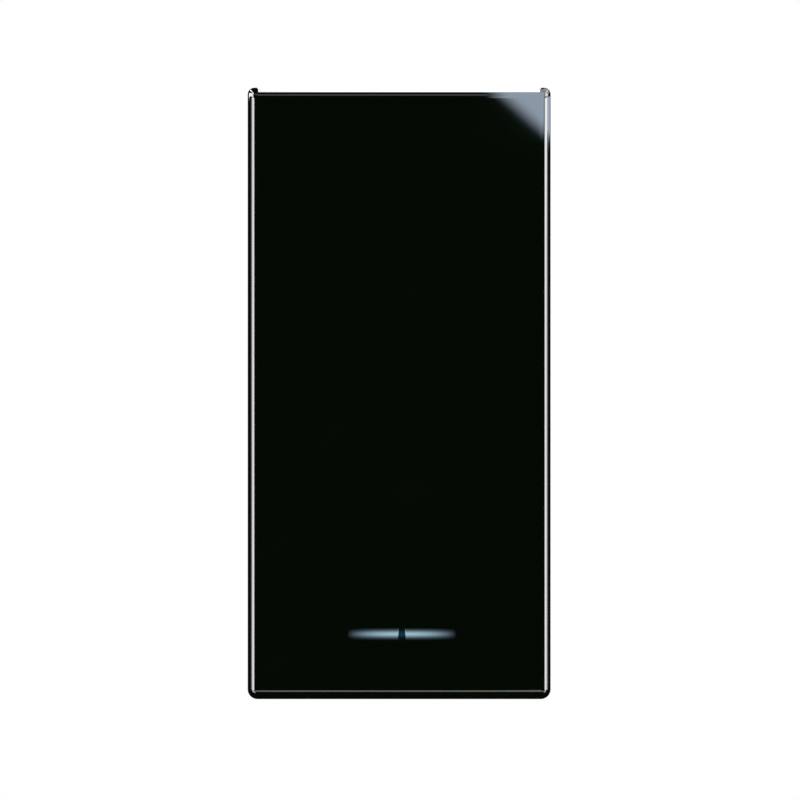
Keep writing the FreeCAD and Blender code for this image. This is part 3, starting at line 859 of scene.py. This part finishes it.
@dataclass
class Studio:
    """The white surroundings, the pale floor, the lamps and the camera."""

    floor_z: float = -100.0
    floor_radius: float = 500.0
    camera_distance: float = 245.3
    outline_y: float = -9.5
    lens: float = 150.0
    aim_x: float = 0.063
    aim_z: float = -0.486
    ambient: float = 0.55
    behind: Span = (0.86, 0.94)
    room: float = 0.01
    floor_rim: Span = (0.3, 0.95)
    floor_cloud: float = 0.02
    floor_dark: Rgb = (0.80, 0.80, 0.79)
    floor_light: Rgb = (0.84, 0.84, 0.83)
    cool: Rgb = (0.82, 1.0, 1.22)

    def surround(self) -> None:
        """Sets the world: white behind the switch, dark where the gloss mirrors the room."""
        world = bpy.data.worlds.new("studio")
        bpy.context.scene.world = world
        world.use_nodes = True
        sheet = NodeSheet(world.node_tree)
        path = sheet.add("LightPath").outputs
        depth = sheet.parts(sheet.add("TexCoord").outputs["Generated"])[DEPTH]
        room = sheet.fade(depth, *self.behind, self.room)
        mirrored = sheet.add("Mix", {0: path["Is Glossy Ray"], 2: self.ambient, 3: room}).outputs[0]
        direct = sheet.math("MAXIMUM", path["Is Camera Ray"], path["Is Transmission Ray"])
        seen = sheet.add("Mix", {0: direct, 2: mirrored, 3: 1.0}).outputs[0]
        sky = sheet.add("Background", {"Color": WHITE, "Strength": seen})
        sheet.add("OutputWorld", {"Surface": sky.outputs[0]})

    def lay_floor(self) -> None:
        """Adds a pale floor under the switch that fades into the white surroundings."""
        bpy.ops.mesh.primitive_circle_add(vertices=96, radius=self.floor_radius * MM, fill_type="NGON",
                                          location=(0, 0, self.floor_z * MM))
        floor = bpy.context.object
        floor.name = "floor"
        sheet = FinishSheet("pale_floor")
        spot = sheet.place(stretch=(1 / self.floor_radius, 1 / self.floor_radius, 0))
        far = sheet.add("VectorMath", {0: spot}, operation="LENGTH").outputs["Value"]
        rim = sheet.fade(far, *self.floor_rim)
        cloud = sheet.noise(self.floor_cloud, sheet.place())
        sheet.set(Base_Color=sheet.blend(cloud, self.floor_dark, self.floor_light), Roughness=0.9,
                  Specular_IOR_Level=0.1)
        share = sheet.math("MULTIPLY", rim, sheet.add("LightPath").outputs["Is Camera Ray"])
        white = sheet.add("Emission", {"Color": WHITE, "Strength": 1.0})
        upper = sheet.add("MixShader", {0: share, 1: sheet.shader.outputs[0], 2: white.outputs[0]})
        below = sheet.add("NewGeometry").outputs["Backfacing"]
        hidden = sheet.add("BsdfTransparent")
        whole = sheet.add("MixShader", {0: below, 1: upper.outputs[0], 2: hidden.outputs[0]})
        sheet.feed(sheet.output.inputs["Surface"], whole.outputs[0])
        floor.data.materials.append(sheet.material)
        floor.visible_glossy = False

    def gloss_lamps(self) -> list[Softbox]:
        """The lamps that only the gloss key mirrors.

        Returns:
            The lamps.
        """
        plane, cool, arc, box = self.camera_y(), self.cool, Softbox.on_arc, Softbox.facing
        return [
            arc("strip_left", 180, (8, 38), 158, 17.0),
            arc("strip_left_edge", 180, (38, 56), 158, 3.0),
            arc("strip_right", 0, (14, 46), 158, 18.0),
            arc("strip_right_edge", 0, (46, 68), 158, 4.5),
            arc("right_band", 0, (46, 92), 20, 8.6, cool, rise=75.5, soft_share=0.1),
            arc("right_band_back", 0, (92, 126), 20, 4.8, cool, rise=75.5, soft_share=0.1),
            arc("overhead_front", 90, (36.5, 66), 74, 23.0),
            arc("overhead_middle", 90, (66, 95), 74, 23.0),
            arc("overhead_back", 90, (95, 150), 80, 9.0),
            arc("corner_streak", 132, (18, 120), 80, 32.0),
            arc("corner_bend", 180, (20, 100), 120, 20.0, rise=150.0),
            arc("corner_ridge", 45, (20, 110), 130, 8.0),
            arc("corner_haze", 62, (30, 116), 560, 5.0),
            arc("corner_side", 26, (30, 105), 290, 5.0),
            arc("corner_rise", 0, (14, 74), 70, 12.0, rise=127.0),
            arc("corner_low_right", 0, (14, 36), 120, 9.0, rise=-141.0),
            arc("corner_low_left", 180, (9, 36), 120, 9.0, rise=-141.0),
            box("corner_box", (27.0, plane, 103.25), 28.0, 133.5, 7.8, cool, 0.0276,
                Slant(0.1829, 0.06, (0.285, 0.0637))),
            box("high_fill", (-12.0, plane, 60.0), 70.0, 5.4, 1.4),
            box("low_fill", (8.0, plane, -55.0), 108.0, 7.3, 3.0),
        ]

    def plain_lamps(self) -> list[Softbox]:
        """The soft lamps that light all other pieces and the floor.

        Returns:
            The lamps.
        """
        return [
            Softbox("key_lamp", (-380.0, -420.0, 460.0), 420.0, 420.0, 3.4, lighting=True),
            Softbox("back_lamp", (420.0, 430.0, 380.0), 420.0, 420.0, 2.6, lighting=True),
            Softbox("side_lamp", (520.0, -260.0, 120.0), 320.0, 420.0, 1.5, lighting=True),
        ]

    def camera_y(self) -> float:
        """Where the camera stands in front of the key."""
        return self.outline_y - self.camera_distance

    def set_camera(self) -> None:
        """Adds the camera, square to the key as in the photograph."""
        place = (self.aim_x * MM, self.camera_y() * MM, self.aim_z * MM)
        bpy.ops.object.camera_add(location=place, rotation=(math.pi / 2, 0, 0))
        camera = bpy.context.object
        camera.name = "camera"
        camera.data.lens = self.lens
        camera.data.clip_start = MM
        bpy.context.scene.camera = camera

    def build(self, key: bpy.types.Object) -> None:
        """Sets up the whole studio.

        Args:
            key: the gloss key, which alone mirrors the narrow lamps.
        """
        self.surround()
        self.lay_floor()
        others = [thing for thing in bpy.context.scene.objects if thing.type == "MESH" and thing is not key]
        for name, lamps, things in (("mirrors_lamps", self.gloss_lamps(), [key]),
                                    ("lit_plainly", self.plain_lamps(), others)):
            lit = bpy.data.collections.new(name)
            for thing in things:
                lit.objects.link(thing)
            for lamp in lamps:
                lamp.set_up(lit)
        self.set_camera()
        bpy.context.scene.view_settings.view_transform = "Standard"


@dataclass
class RockerKey:
    """The gloss key: a deep cap with rounded edges, two light slots and a relieved skirt."""

    low: Point
    high: Point
    edge_radius: float = 0.5
    lower_radius: float = 0.73
    edge_segments: int = 14
    crown_width: float = 0.18
    crown_drop: float = 0.0065
    crown_margin: float = 1.8
    skirt_wall: float = 1.3
    face_wall: float = 1.8
    hollow_radius: float = 0.2
    relief_degrees: float = 3.8
    skirt_middle_y: float = -2.35
    light_x: float = 0.2
    light_z: float = -17.7
    light_half: Span = (0.25, 4.0)
    light_height: float = 0.85
    light_tip_share: float = 0.475
    hook_x: Span = (8.9, 9.95)
    hook_y: Span = (-6.6, -5.6)
    hook_z: float = 9.0
    hook_length: float = 3.0

    def light_slot(self, side: Side) -> Workpiece:
        """The cutter for one of the two halves of the light bar.

        Args:
            side: which half.

        Returns:
            The cutter.
        """
        x = tuple(self.light_x + part for part in on_side(side, *self.light_half))
        y = (self.low[DEPTH] - PAST, self.low[DEPTH] + self.face_wall + PAST)
        slot = Workpiece.block("slot", x, y, around(self.light_z, self.light_height))
        at_tip = edge_in(near(x=self.light_x + side * self.light_half[1]))
        return slot.round_edges(both(parallel(Axis.Y), at_tip), self.light_tip_share * self.light_height, 8)

    def skirt_relief(self, end: End) -> Workpiece:
        """The wedge that clears the front cover when the key tilts.

        Args:
            end: which half of the key it is in.

        Returns:
            The cutter.
        """
        reach = self.high[2] + PAST
        x = (self.low[0] - PAST, self.high[0] + PAST)
        y = (self.skirt_middle_y, self.skirt_middle_y + PAST)
        wedge = Workpiece.block("relief", x, y, on_side(end, 0.0, reach))
        fall = math.tan(math.radians(self.relief_degrees)) * reach
        return wedge.move_points(near(y=self.skirt_middle_y, z=end * reach), (0, -fall, 0))

    def build(self, finish: Material) -> bpy.types.Object:
        """Models and dresses the key.

        Args:
            finish: its gloss plastic.

        Returns:
            The finished key.
        """
        x, y, z = zip(self.low, self.high)
        front = y[0] + self.crown_drop
        key = Workpiece.block("gloss_key", x, (front, y[1]), z)
        lower, upper = (both(parallel(Axis.Y), edge_in(test)) for test in (lambda p: p.z < 0, lambda p: p.z > 0))
        key.round_edges(lower, self.lower_radius, self.edge_segments)
        key.round_edges(either(upper, in_plane(Axis.Y, front)), self.edge_radius, self.edge_segments)
        key.inset_faces(lambda normal: normal.y < -0.999, self.crown_width, self.crown_drop)
        inward = self.edge_radius + self.crown_margin * self.crown_width
        for axis, (low, high) in ((Axis.X, x), (Axis.Z, z)):
            key.split(axis, low + inward)
            key.split(axis, high - inward)
        hollow_x, hollow_z = ((low + self.skirt_wall, high - self.skirt_wall) for low, high in (x, z))
        hollow_y = (y[0] + self.face_wall, y[1] + PAST)
        hollow = Workpiece.rounded("hollow", hollow_x, hollow_y, hollow_z, Axis.Y, self.hollow_radius, 3)
        key.cut(hollow, self.skirt_relief(End.UPPER), self.skirt_relief(End.LOWER))
        key.cut(*(self.light_slot(side) for side in Side))
        for side, end in CORNERS:
            hook_z = around(end * self.hook_z, self.hook_length)
            key.fuse(Workpiece.block("hook", on_side(side, *self.hook_x), self.hook_y, hook_z))
        key.smooth().hand_over(Body.ROCKER, "key_gloss", finish, "rocker_key")
        return key.thing


@dataclass
class HousingShell:
    """The moulded body with its chambers, wire entries, lugs and shallow panels."""

    half_width: float = 10.8
    half_height: float = 20.2
    y: Span = (-0.4, 24.0)
    corner_radius: float = 0.8
    back_radius: float = 0.5
    cavity: Point = (9.4, 22.8, 19.0)
    cavity_radius: float = 0.3
    upper_wall_y: float = 12.9
    lower_wall_y: float = 10.65
    cross_z: Span = (10.4, 11.4)
    middle_half: float = 0.6
    middle_z: float = 11.3
    post_x: Span = (2.4, 3.2)
    post_y: float = 10.57
    post_z: Span = (8.0, 10.5)
    saddle: Point = (1.0, 12.82, 3.0)
    ledge_x: float = -7.2
    ledge_y: Span = (10.57, 11.97)
    ledge_half: float = 8.0
    wire_hole: Point = (5.3, 1.4, 16.6)
    funnel: float = 0.4
    collar_radius: float = 2.1
    collar_y: Span = (20.6, 23.9)
    window: Span = (4.6, 2.4)
    window_z: float = 13.1
    window_radius: float = 0.15
    label: Point = (14.0, 0.2, 17.0)
    label_radius: float = 0.8
    tongue_z: float = 12.0
    tongue_slot: Point = (0.72, 6.5, 4.8)
    nub_y: Span = (3.9, 5.2)
    nub_run: float = 1.0
    nub_width: float = 2.7
    nub_radius: float = 0.06
    lug_half: float = 3.5
    lug_y: Span = (2.2, 5.2)
    lug_height: float = 0.9
    lug_flat: float = 0.4
    lug_radius: float = 0.1
    panel_y: Span = (9.0, 21.6)
    panel_z: tuple[float, ...] = (-7.05, -2.35, 2.35, 7.05)
    panel_height: float = 4.1
    panel_depth: float = 0.22
    panel_radius: float = 0.6
    gauge_y: Span = (12.6, 23.0)
    gauge_z: float = 16.6
    gauge_height: float = 0.9
    gauge_radius: float = 0.42
    end_groove: Point = (4.4, 0.5, 0.3)
    end_groove_y: Span = (0.7, 7.4)
    end_groove_radius: float = 0.22
    end_panel: Point = (16.0, 0.2, 11.0)
    end_panel_y: float = 15.2
    ejector: Point = (9.0, 1.0, 5.6)
    ejector_depth: float = 0.1

    def shell(self) -> Workpiece:
        """The outer box with its cavity.

        Returns:
            The hollow box.
        """
        x, z = centred(self.half_width), centred(self.half_height)
        shell = Workpiece.rounded("moulded_housing", x, self.y, z, Axis.Y, self.corner_radius, 7)
        shell.round_edges(in_plane(Axis.Y, self.y[1]), self.back_radius, 4)
        half_x, floor_y, half_z = self.cavity
        y = (self.y[0] - PAST, floor_y)
        return shell.cut(Workpiece.rounded("cavity", centred(half_x), y, centred(half_z), Axis.Y,
                                           self.cavity_radius, 3))

    def inner_walls(self) -> list[Workpiece]:
        """The partitions, posts and ledge in the cavity.

        Returns:
            The walls, each a block that reaches into what carries it.
        """
        half_x, floor_y, half_z = self.cavity
        reach_x, back = half_x + MERGE, floor_y + MERGE
        walls = []
        for end, front in ((End.UPPER, self.upper_wall_y), (End.LOWER, self.lower_wall_y)):
            walls.append(Workpiece.block("cross", centred(reach_x), (front, back), on_side(end, *self.cross_z)))
            middle_z = on_side(end, self.middle_z, half_z + MERGE)
            walls.append(Workpiece.block("middle", centred(self.middle_half), (front, back), middle_z))
            for side in Side:
                x, z = on_side(side, *self.post_x), on_side(end, *self.post_z)
                walls.append(Workpiece.block("post", x, (self.post_y, back), z))
        saddle_x, front, saddle_z = self.saddle
        walls.append(Workpiece.block("saddle", centred(saddle_x), (front, back), centred(saddle_z)))
        walls.append(Workpiece.block("ledge", (-reach_x, self.ledge_x), self.ledge_y, centred(self.ledge_half)))
        return walls

    def lug(self, end: End) -> Workpiece:
        """The wedge that snaps behind the mounting frame.

        Args:
            end: the end wall it stands on.

        Returns:
            The wedge.
        """
        peak = self.half_height + self.lug_height
        z = on_side(end, self.half_height - MERGE, peak)
        wedge = Workpiece.block("lug", centred(self.lug_half), self.lug_y, z)
        run = self.lug_y[1] - self.lug_y[0] - self.lug_flat
        wedge.move_points(near(y=self.lug_y[1], z=end * peak), (0, -run, 0))
        outer = edge_in(lambda p: abs(p.z) > self.half_height + MERGE)
        return wedge.round_edges(outer, self.lug_radius, 3)

    def terminal_cuts(self, side: Side, end: End) -> list[Workpiece]:
        """The cutters for one terminal: bore, funnel and lever window.

        Args:
            side: the side that the terminal is on.
            end: the end that it is at.

        Returns:
            The cutters.
        """
        x, radius, z = self.wire_hole
        back, beyond = self.y[1], self.y[1] + PAST
        bore = Workpiece.rod("bore", radius, (self.collar_y[0] - PAST, beyond), side * x, end * z)
        mouth = Workpiece.rod("mouth", radius, (back - self.funnel, back + MERGE), side * x, end * z,
                              radius + self.funnel + MERGE)
        width, height = self.window
        opening = Workpiece.rounded("window", around(side * x, width), (self.cavity[1] - PAST, beyond),
                                    around(end * self.window_z, height), Axis.Y, self.window_radius, 3)
        return [bore, mouth, opening]

    def tongue_recess(self, side: Side, end: End) -> Workpiece:
        """The cutter for the recess that one tongue of the front cover lies in.

        Args:
            side: the side wall it is in.
            end: the end that it is nearer to.

        Returns:
            The cutter.
        """
        depth, back, height = self.tongue_slot
        x = on_side(side, self.half_width - depth, self.half_width + PAST)
        return Workpiece.block("recess", x, (self.y[0] - PAST, back), around(end * self.tongue_z, height))

    def nub(self, side: Side, end: End) -> Workpiece:
        """The ramp that catches one tongue of the front cover.

        Args:
            side: the side wall it is in.
            end: the end that it is nearer to.

        Returns:
            The ramp.
        """
        x = on_side(side, self.half_width - self.tongue_slot[0] - MERGE, self.half_width)
        ramp = Workpiece.block("nub", x, self.nub_y, around(end * self.tongue_z, self.nub_width))
        ramp.move_points(near(x=side * self.half_width, y=self.nub_y[0]), (0, self.nub_run, 0))
        return ramp.round_edges(edge_in(near(x=side * self.half_width)), self.nub_radius, 2)

    def back_marks(self) -> list[Workpiece]:
        """The cutters for the shallow panel and the round ejector marks in the back wall.

        Returns:
            The cutters.
        """
        width, depth, height = self.label
        y = (self.y[1] - depth, self.y[1] + PAST)
        plate = Workpiece.rounded("plate", around(0, width), y, around(0, height), Axis.Y, self.label_radius, 6)
        x, radius, z = self.ejector
        y = (self.y[1] - self.ejector_depth, self.y[1] + PAST)
        return [plate, *(Workpiece.rod("pin", radius, y, side * x, end * z) for side, end in CORNERS)]

    def side_cuts(self, side: Side) -> list[Workpiece]:
        """The shallow panels and the wire gauge grooves of one side wall.

        Args:
            side: which wall.

        Returns:
            The cutters.
        """
        x = on_side(side, self.half_width - self.panel_depth, self.half_width + PAST)
        panels = [Workpiece.rounded("panel", x, self.panel_y, around(z, self.panel_height), Axis.X,
                                    self.panel_radius, 5) for z in self.panel_z]
        gauges = [Workpiece.rounded("gauge", x, self.gauge_y, around(end * self.gauge_z, self.gauge_height), Axis.X,
                                    self.gauge_radius, 6) for end in End]
        return panels + gauges

    def end_cuts(self, end: End) -> list[Workpiece]:
        """The grooves beside a lug and the shallow panel behind it.

        Args:
            end: which wall.

        Returns:
            The cutters.
        """
        outer = self.half_height + PAST
        middle_x, width, depth = self.end_groove
        z = on_side(end, self.half_height - depth, outer)
        grooves = [Workpiece.rounded("groove", around(side * middle_x, width), self.end_groove_y, z, Axis.Z,
                                     self.end_groove_radius, 4) for side in Side]
        width, depth, length = self.end_panel
        z = on_side(end, self.half_height - depth, outer)
        panel = Workpiece.rounded("panel", around(0, width), around(self.end_panel_y, length), z, Axis.Z,
                                  self.panel_radius, 5)
        return [*grooves, panel]

    def build(self, finish: Material) -> None:
        """Models and dresses the housing.

        Args:
            finish: its moulded plastic.
        """
        base = self.shell()
        base.fuse(*self.inner_walls(), self.lug(End.UPPER), self.lug(End.LOWER))
        x, _, z = self.wire_hole
        for end in End:
            for side in Side:
                base.fuse(Workpiece.rod("collar", self.collar_radius, self.collar_y, side * x, end * z))
                base.cut(*self.terminal_cuts(side, end), self.tongue_recess(side, end))
        base.cut(*self.back_marks())
        for side in Side:
            base.cut(*self.side_cuts(side))
        for end in End:
            base.cut(*self.end_cuts(end))
        base.fuse(*(self.nub(side, end) for side, end in CORNERS))
        base.smooth().hand_over(Body.HOUSING, "housing_grey", finish, "housing_base")


@dataclass
class FrontCover:
    """The flanged cover with bearing ears, tongues and the window for the lamp."""

    half_width: float = 11.1
    half_height: float = 22.0
    y: Span = (-2.0, 0.0)
    corner_radius: float = 0.6
    edge_radius: float = 0.15
    pivot_y: float = -4.5
    pivot_hole: float = 1.25
    ear_x: Span = (7.4, 9.2)
    ear_radius: float = 2.15
    rib_x: Span = (8.3, 9.2)
    rib_y: Span = (-2.9, -1.9)
    rib_half: float = 14.0
    opening: Span = (3.0, 3.3358)
    opening_radius: float = 0.4
    pocket: Point = (10.82, 0.4, 20.22)
    lamp_x: float = 0.2
    lamp_z: float = -17.7
    lamp_window: Span = (12.2, 5.8)
    tongue_x: Span = (10.1, 10.8)
    tongue_y: Span = (-0.5, 6.4)
    tongue_z: float = 12.0
    tongue_width: float = 4.6
    tip_radius: float = 0.4
    catch_y: Span = (3.8, 5.3)
    catch_width: float = 2.9

    def ear(self, side: Side) -> list[Workpiece]:
        """One bearing ear and the rib beside it.

        Args:
            side: which ear.

        Returns:
            The ear's foot, its round head and its rib.
        """
        x, foot_y = on_side(side, *self.ear_x), (self.pivot_y, self.y[0] + MERGE)
        foot = Workpiece.block("foot", x, foot_y, centred(self.ear_radius))
        head = Workpiece.axle("head", self.ear_radius, x, self.pivot_y, sides=64)
        rib = Workpiece.block("rib", on_side(side, *self.rib_x), self.rib_y, centred(self.rib_half))
        return [foot, head, rib.round_edges(in_plane(Axis.Y, self.rib_y[0]), self.edge_radius, 3)]

    def tongue(self, side: Side, end: End) -> Workpiece:
        """One tongue that clips on the housing.

        Args:
            side: the side wall it is in.
            end: the end that it is nearer to.

        Returns:
            The tongue.
        """
        x, z = on_side(side, *self.tongue_x), end * self.tongue_z
        strip = Workpiece.block("tongue", x, self.tongue_y, around(z, self.tongue_width))
        strip.round_edges(both(parallel(Axis.X), in_plane(Axis.Y, self.tongue_y[1])), self.tip_radius, 4)
        wide = (x[0] - PAST, x[1] + PAST)
        return strip.cut(Workpiece.rounded("catch", wide, self.catch_y, around(z, self.catch_width), Axis.X,
                                           self.edge_radius, 3))

    def build(self, finish: Material) -> None:
        """Models and dresses the cover.

        Args:
            finish: its moulded plastic.
        """
        x, z = centred(self.half_width), centred(self.half_height)
        plate = Workpiece.rounded("front_cover_plate", x, self.y, z, Axis.Y, self.corner_radius, 6)
        plate.round_edges(in_plane(Axis.Y, self.y[0]), self.edge_radius, 3)
        plate.fuse(*self.ear(Side.LEFT), *self.ear(Side.RIGHT))
        through = (self.y[0] - PAST, self.y[1] + PAST)
        half_x, half_z = self.opening
        opening = Workpiece.rounded("opening", centred(half_x), through, centred(half_z), Axis.Y,
                                    self.opening_radius, 4)
        half_x, depth, half_z = self.pocket
        pocket = Workpiece.block("pocket", centred(half_x), (self.y[1] - depth, through[1]), centred(half_z))
        width, height = self.lamp_window
        lamp = Workpiece.block("lamp", around(self.lamp_x, width), through, around(self.lamp_z, height))
        plate.cut(opening, pocket, lamp, Workpiece.axle("bearing", self.pivot_hole, x, self.pivot_y, sides=48))
        plate.fuse(*(self.tongue(side, end) for side, end in CORNERS))
        plate.smooth().hand_over(Body.HOUSING, "cover_black", finish, "front_cover")


@dataclass
class ReleaseLevers:
    """The four levers at the back that open the wire clamps."""

    middle_x: float = 5.3
    middle_z: float = 13.1
    width: float = 4.4
    height: float = 2.2
    y: Span = (16.4, 25.2)
    edge_radius: float = 0.25
    shoulder: float = 0.5
    shoulder_y: Span = (20.7, 22.7)
    shoulder_radius: float = 0.12
    slot_height: float = 0.8
    slot_depth: float = 0.5
    slot_radius: float = 0.15

    def lever(self) -> Workpiece:
        """The lever at the upper right, with its shoulders and grip slot.

        Returns:
            The lever.
        """
        z = around(self.middle_z, self.height)
        lever = Workpiece.block("release_lever", around(self.middle_x, self.width), self.y, z)
        lever.round_edges(in_plane(Axis.Y, self.y[1]), self.edge_radius, 4)
        wide = around(self.middle_x, self.width + 2 * self.shoulder)
        lever.fuse(Workpiece.rounded("shoulder", wide, self.shoulder_y, z, Axis.Z, self.shoulder_radius, 3))
        floor = self.y[1] - self.slot_depth
        slot = Workpiece.block("slot", around(self.middle_x, self.width + PAST), (floor, self.y[1] + PAST),
                               around(self.middle_z, self.slot_height))
        return lever.cut(slot.round_edges(both(parallel(Axis.X), in_plane(Axis.Y, floor)), self.slot_radius, 3))

    def build(self, finish: Material) -> None:
        """Models one lever and copies it to the four terminals.

        Args:
            finish: their plastic.
        """
        first = self.lever()
        for name, side, end in (("common_left", Side.LEFT, End.UPPER), ("common_right", Side.RIGHT, End.UPPER),
                                ("1", Side.LEFT, End.LOWER), ("2", Side.RIGHT, End.LOWER)):
            node = f"release_lever_{name}"
            lever = first.copy(f"wire_release_{name}", flip_x=side is Side.LEFT, flip_z=end is End.LOWER)
            lever.smooth().hand_over(Body(node), "release_orange", finish, node)
        bpy.data.objects.remove(first.thing)


@dataclass
class TerminalMarks:
    """Raised letters and numbers beside the wire entries."""

    back_y: float = 24.0
    sunk: float = 0.05
    raise_by: float = 0.15
    bevel: float = 0.02
    size: float = 2.7
    x: float = 1.55
    z: float = 17.0

    def mark(self, name: str, text: str, x: float, z: float) -> Workpiece:
        """One raised mark, read from behind.

        Args:
            name: the name of the new object.
            text: what it says.
            x: its middle to the right.
            z: its middle upwards.

        Returns:
            The mark.
        """
        place = (x * MM, (self.back_y - self.sunk) * MM, z * MM)
        bpy.ops.object.text_add(location=place, rotation=(math.pi / 2, 0, math.pi))
        words = bpy.context.object.data
        words.body = text
        words.size = self.size * MM
        words.align_x = "CENTER"
        words.align_y = "CENTER"
        words.extrude = self.raise_by * MM
        words.bevel_depth = self.bevel * MM
        bpy.ops.object.convert(target="MESH")
        return Workpiece.placed(name).close()

    def build(self, finish: Material) -> None:
        """Models the four marks.

        Args:
            finish: the housing's plastic.
        """
        marks = (("common_left", "L", Side.LEFT, End.UPPER), ("common_right", "L", Side.RIGHT, End.UPPER),
                 ("one", "1", Side.LEFT, End.LOWER), ("two", "2", Side.RIGHT, End.LOWER))
        for name, text, side, end in marks:
            mark = self.mark(f"terminal_mark_{name}", text, side * self.x, end * self.z)
            mark.hand_over(Body.HOUSING, "housing_grey", finish)


@dataclass
class InnerParts:
    """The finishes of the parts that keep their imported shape."""

    tin: Rgb = (0.60, 0.60, 0.58)
    cap_share: float = 0.22
    pad_shares: tuple[float, ...] = (-0.72, -0.42, 0.42, 0.72)
    pad_half: Span = (0.55, 0.7)
    trace_share: float = 0.8
    trace_half: float = 0.18

    def extent(self, node: str) -> tuple[Vector, Vector]:
        """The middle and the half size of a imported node, in millimetres."""
        low, high = (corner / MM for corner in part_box(node))
        return (low + high) / 2, (high - low) / 2

    def capped(self, name: str, node: str) -> MouldedPlastic:
        """The finish of a chip with a tinned cap at each end.

        Args:
            name: the material's name.
            node: the chip's node.

        Returns:
            The finish.
        """
        middle, half = self.extent(node)
        cap = self.cap_share * half.z
        size = (half.x + PAST, half.y + PAST, cap)
        ends = (middle.z - half.z + cap, middle.z + half.z - cap)
        return MouldedPlastic(name, (0.018, 0.018, 0.020), 0.4,
                              bands=tuple(Band(self.tin, (middle.x, middle.y, z), size) for z in ends))

    def board(self, name: str, node: str) -> MouldedPlastic:
        """The finish of the lamp board, with a trace and four tinned pads.

        Args:
            name: the material's name.
            node: the board's node.

        Returns:
            The finish.
        """
        middle, half = self.extent(node)
        deep = half.y + PAST
        trace = Band((0.03, 0.12, 0.04), tuple(middle), (self.trace_share * half.x, deep, self.trace_half))
        pad = (self.pad_half[0], deep, self.pad_half[1])
        pads = (Band(self.tin, (middle.x + share * half.x, middle.y, middle.z), pad) for share in self.pad_shares)
        return MouldedPlastic(name, (0.010, 0.065, 0.022), 0.3, 0.2, 3.0, bands=(trace, *pads))

    def build(self) -> None:
        """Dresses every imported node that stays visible."""
        metal, plastic = StampedMetal, MouldedPlastic
        finishes = (
            (metal("rolled_brass", (0.62, 0.42, 0.16), (0.40, 0.25, 0.10), 0.32, (6.0, 6.0, 0.2)),
             ("common_strip", "contact_strip_1", "contact_strip_2")),
            (metal("stamped_brass", (0.68, 0.48, 0.20), (0.46, 0.30, 0.12), 0.28, (6.0, 6.0, 0.25)),
             ("contact_lever",)),
            (metal("silver_alloy", (0.78, 0.77, 0.73), (0.58, 0.55, 0.48), 0.26, (5.0, 5.0, 5.0)),
             ("fixed_contact_upper", "fixed_contact_lower", "moving_contact_upper", "moving_contact_lower")),
            (metal("spring_wire", (0.52, 0.53, 0.55), (0.36, 0.36, 0.36), 0.24, (8.0, 2.0, 8.0)),
             ("plunger_spring", "lamp_spring_left", "lamp_spring_right")),
            (metal("leaf_steel", (0.58, 0.58, 0.57), (0.42, 0.41, 0.39), 0.27, (7.0, 0.3, 0.3)),
             ("clamp_spring_common_left", "clamp_spring_common_right", "clamp_spring_1", "clamp_spring_2")),
            (plastic("cradle_plastic", (0.030, 0.032, 0.035), 0.42), ("rocker_cradle",)),
            (plastic("plunger_plastic", (0.56, 0.56, 0.52), 0.34, 0.04), ("plunger",)),
            (plastic("carrier_plastic", (0.009, 0.009, 0.010), 0.5), ("lamp_carrier",)),
            (self.board("solder_mask", "lamp_board"), ("lamp_board",)),
            (plastic("lamp_epoxy", (0.55, 0.66, 0.72), 0.12, 0.05, 1.0, 0.001), ("lamp_led",)),
            (self.capped("resistor_body", "lamp_resistor"), ("lamp_resistor",)),
            (self.capped("diode_body", "lamp_diode"), ("lamp_diode",)),
            (LitGuide("lit_guide"), ("light_guide",)),
        )
        for finish, nodes in finishes:
            material = finish.make()
            for node in nodes:
                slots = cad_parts[node].data.materials
                slots.clear()
                slots.append(material)


def main() -> None:
    """Builds the switch in the order in which it is put together, then the studio."""
    logging.basicConfig(level=logging.INFO, format="%(name)s: %(message)s")
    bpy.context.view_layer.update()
    bpy.ops.object.select_all(action="DESELECT")
    InnerParts().build()
    stamped = Band((0.62, 0.62, 0.60), (0.0, 24.6, 0.0), (9.0, 0.55, 19.0), 0.02)
    housing_plastic = MouldedPlastic("housing_plastic", (0.040, 0.043, 0.046), 0.5, 0.10, bands=(stamped,)).make()
    HousingShell().build(housing_plastic)
    TerminalMarks().build(housing_plastic)
    FrontCover().build(MouldedPlastic("cover_plastic", (0.0065, 0.0068, 0.0072), 0.45, 0.10).make())
    ReleaseLevers().build(MouldedPlastic("release_plastic", (0.60, 0.085, 0.008), 0.38, 0.06, 8.0, 0.003).make())
    low, high = (tuple(corner / MM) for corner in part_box("rocker_key"))
    key = RockerKey(low, high).build(GlossShell("gloss_black").make())
    Studio().build(key)


if __name__ == "__main__":
    main()
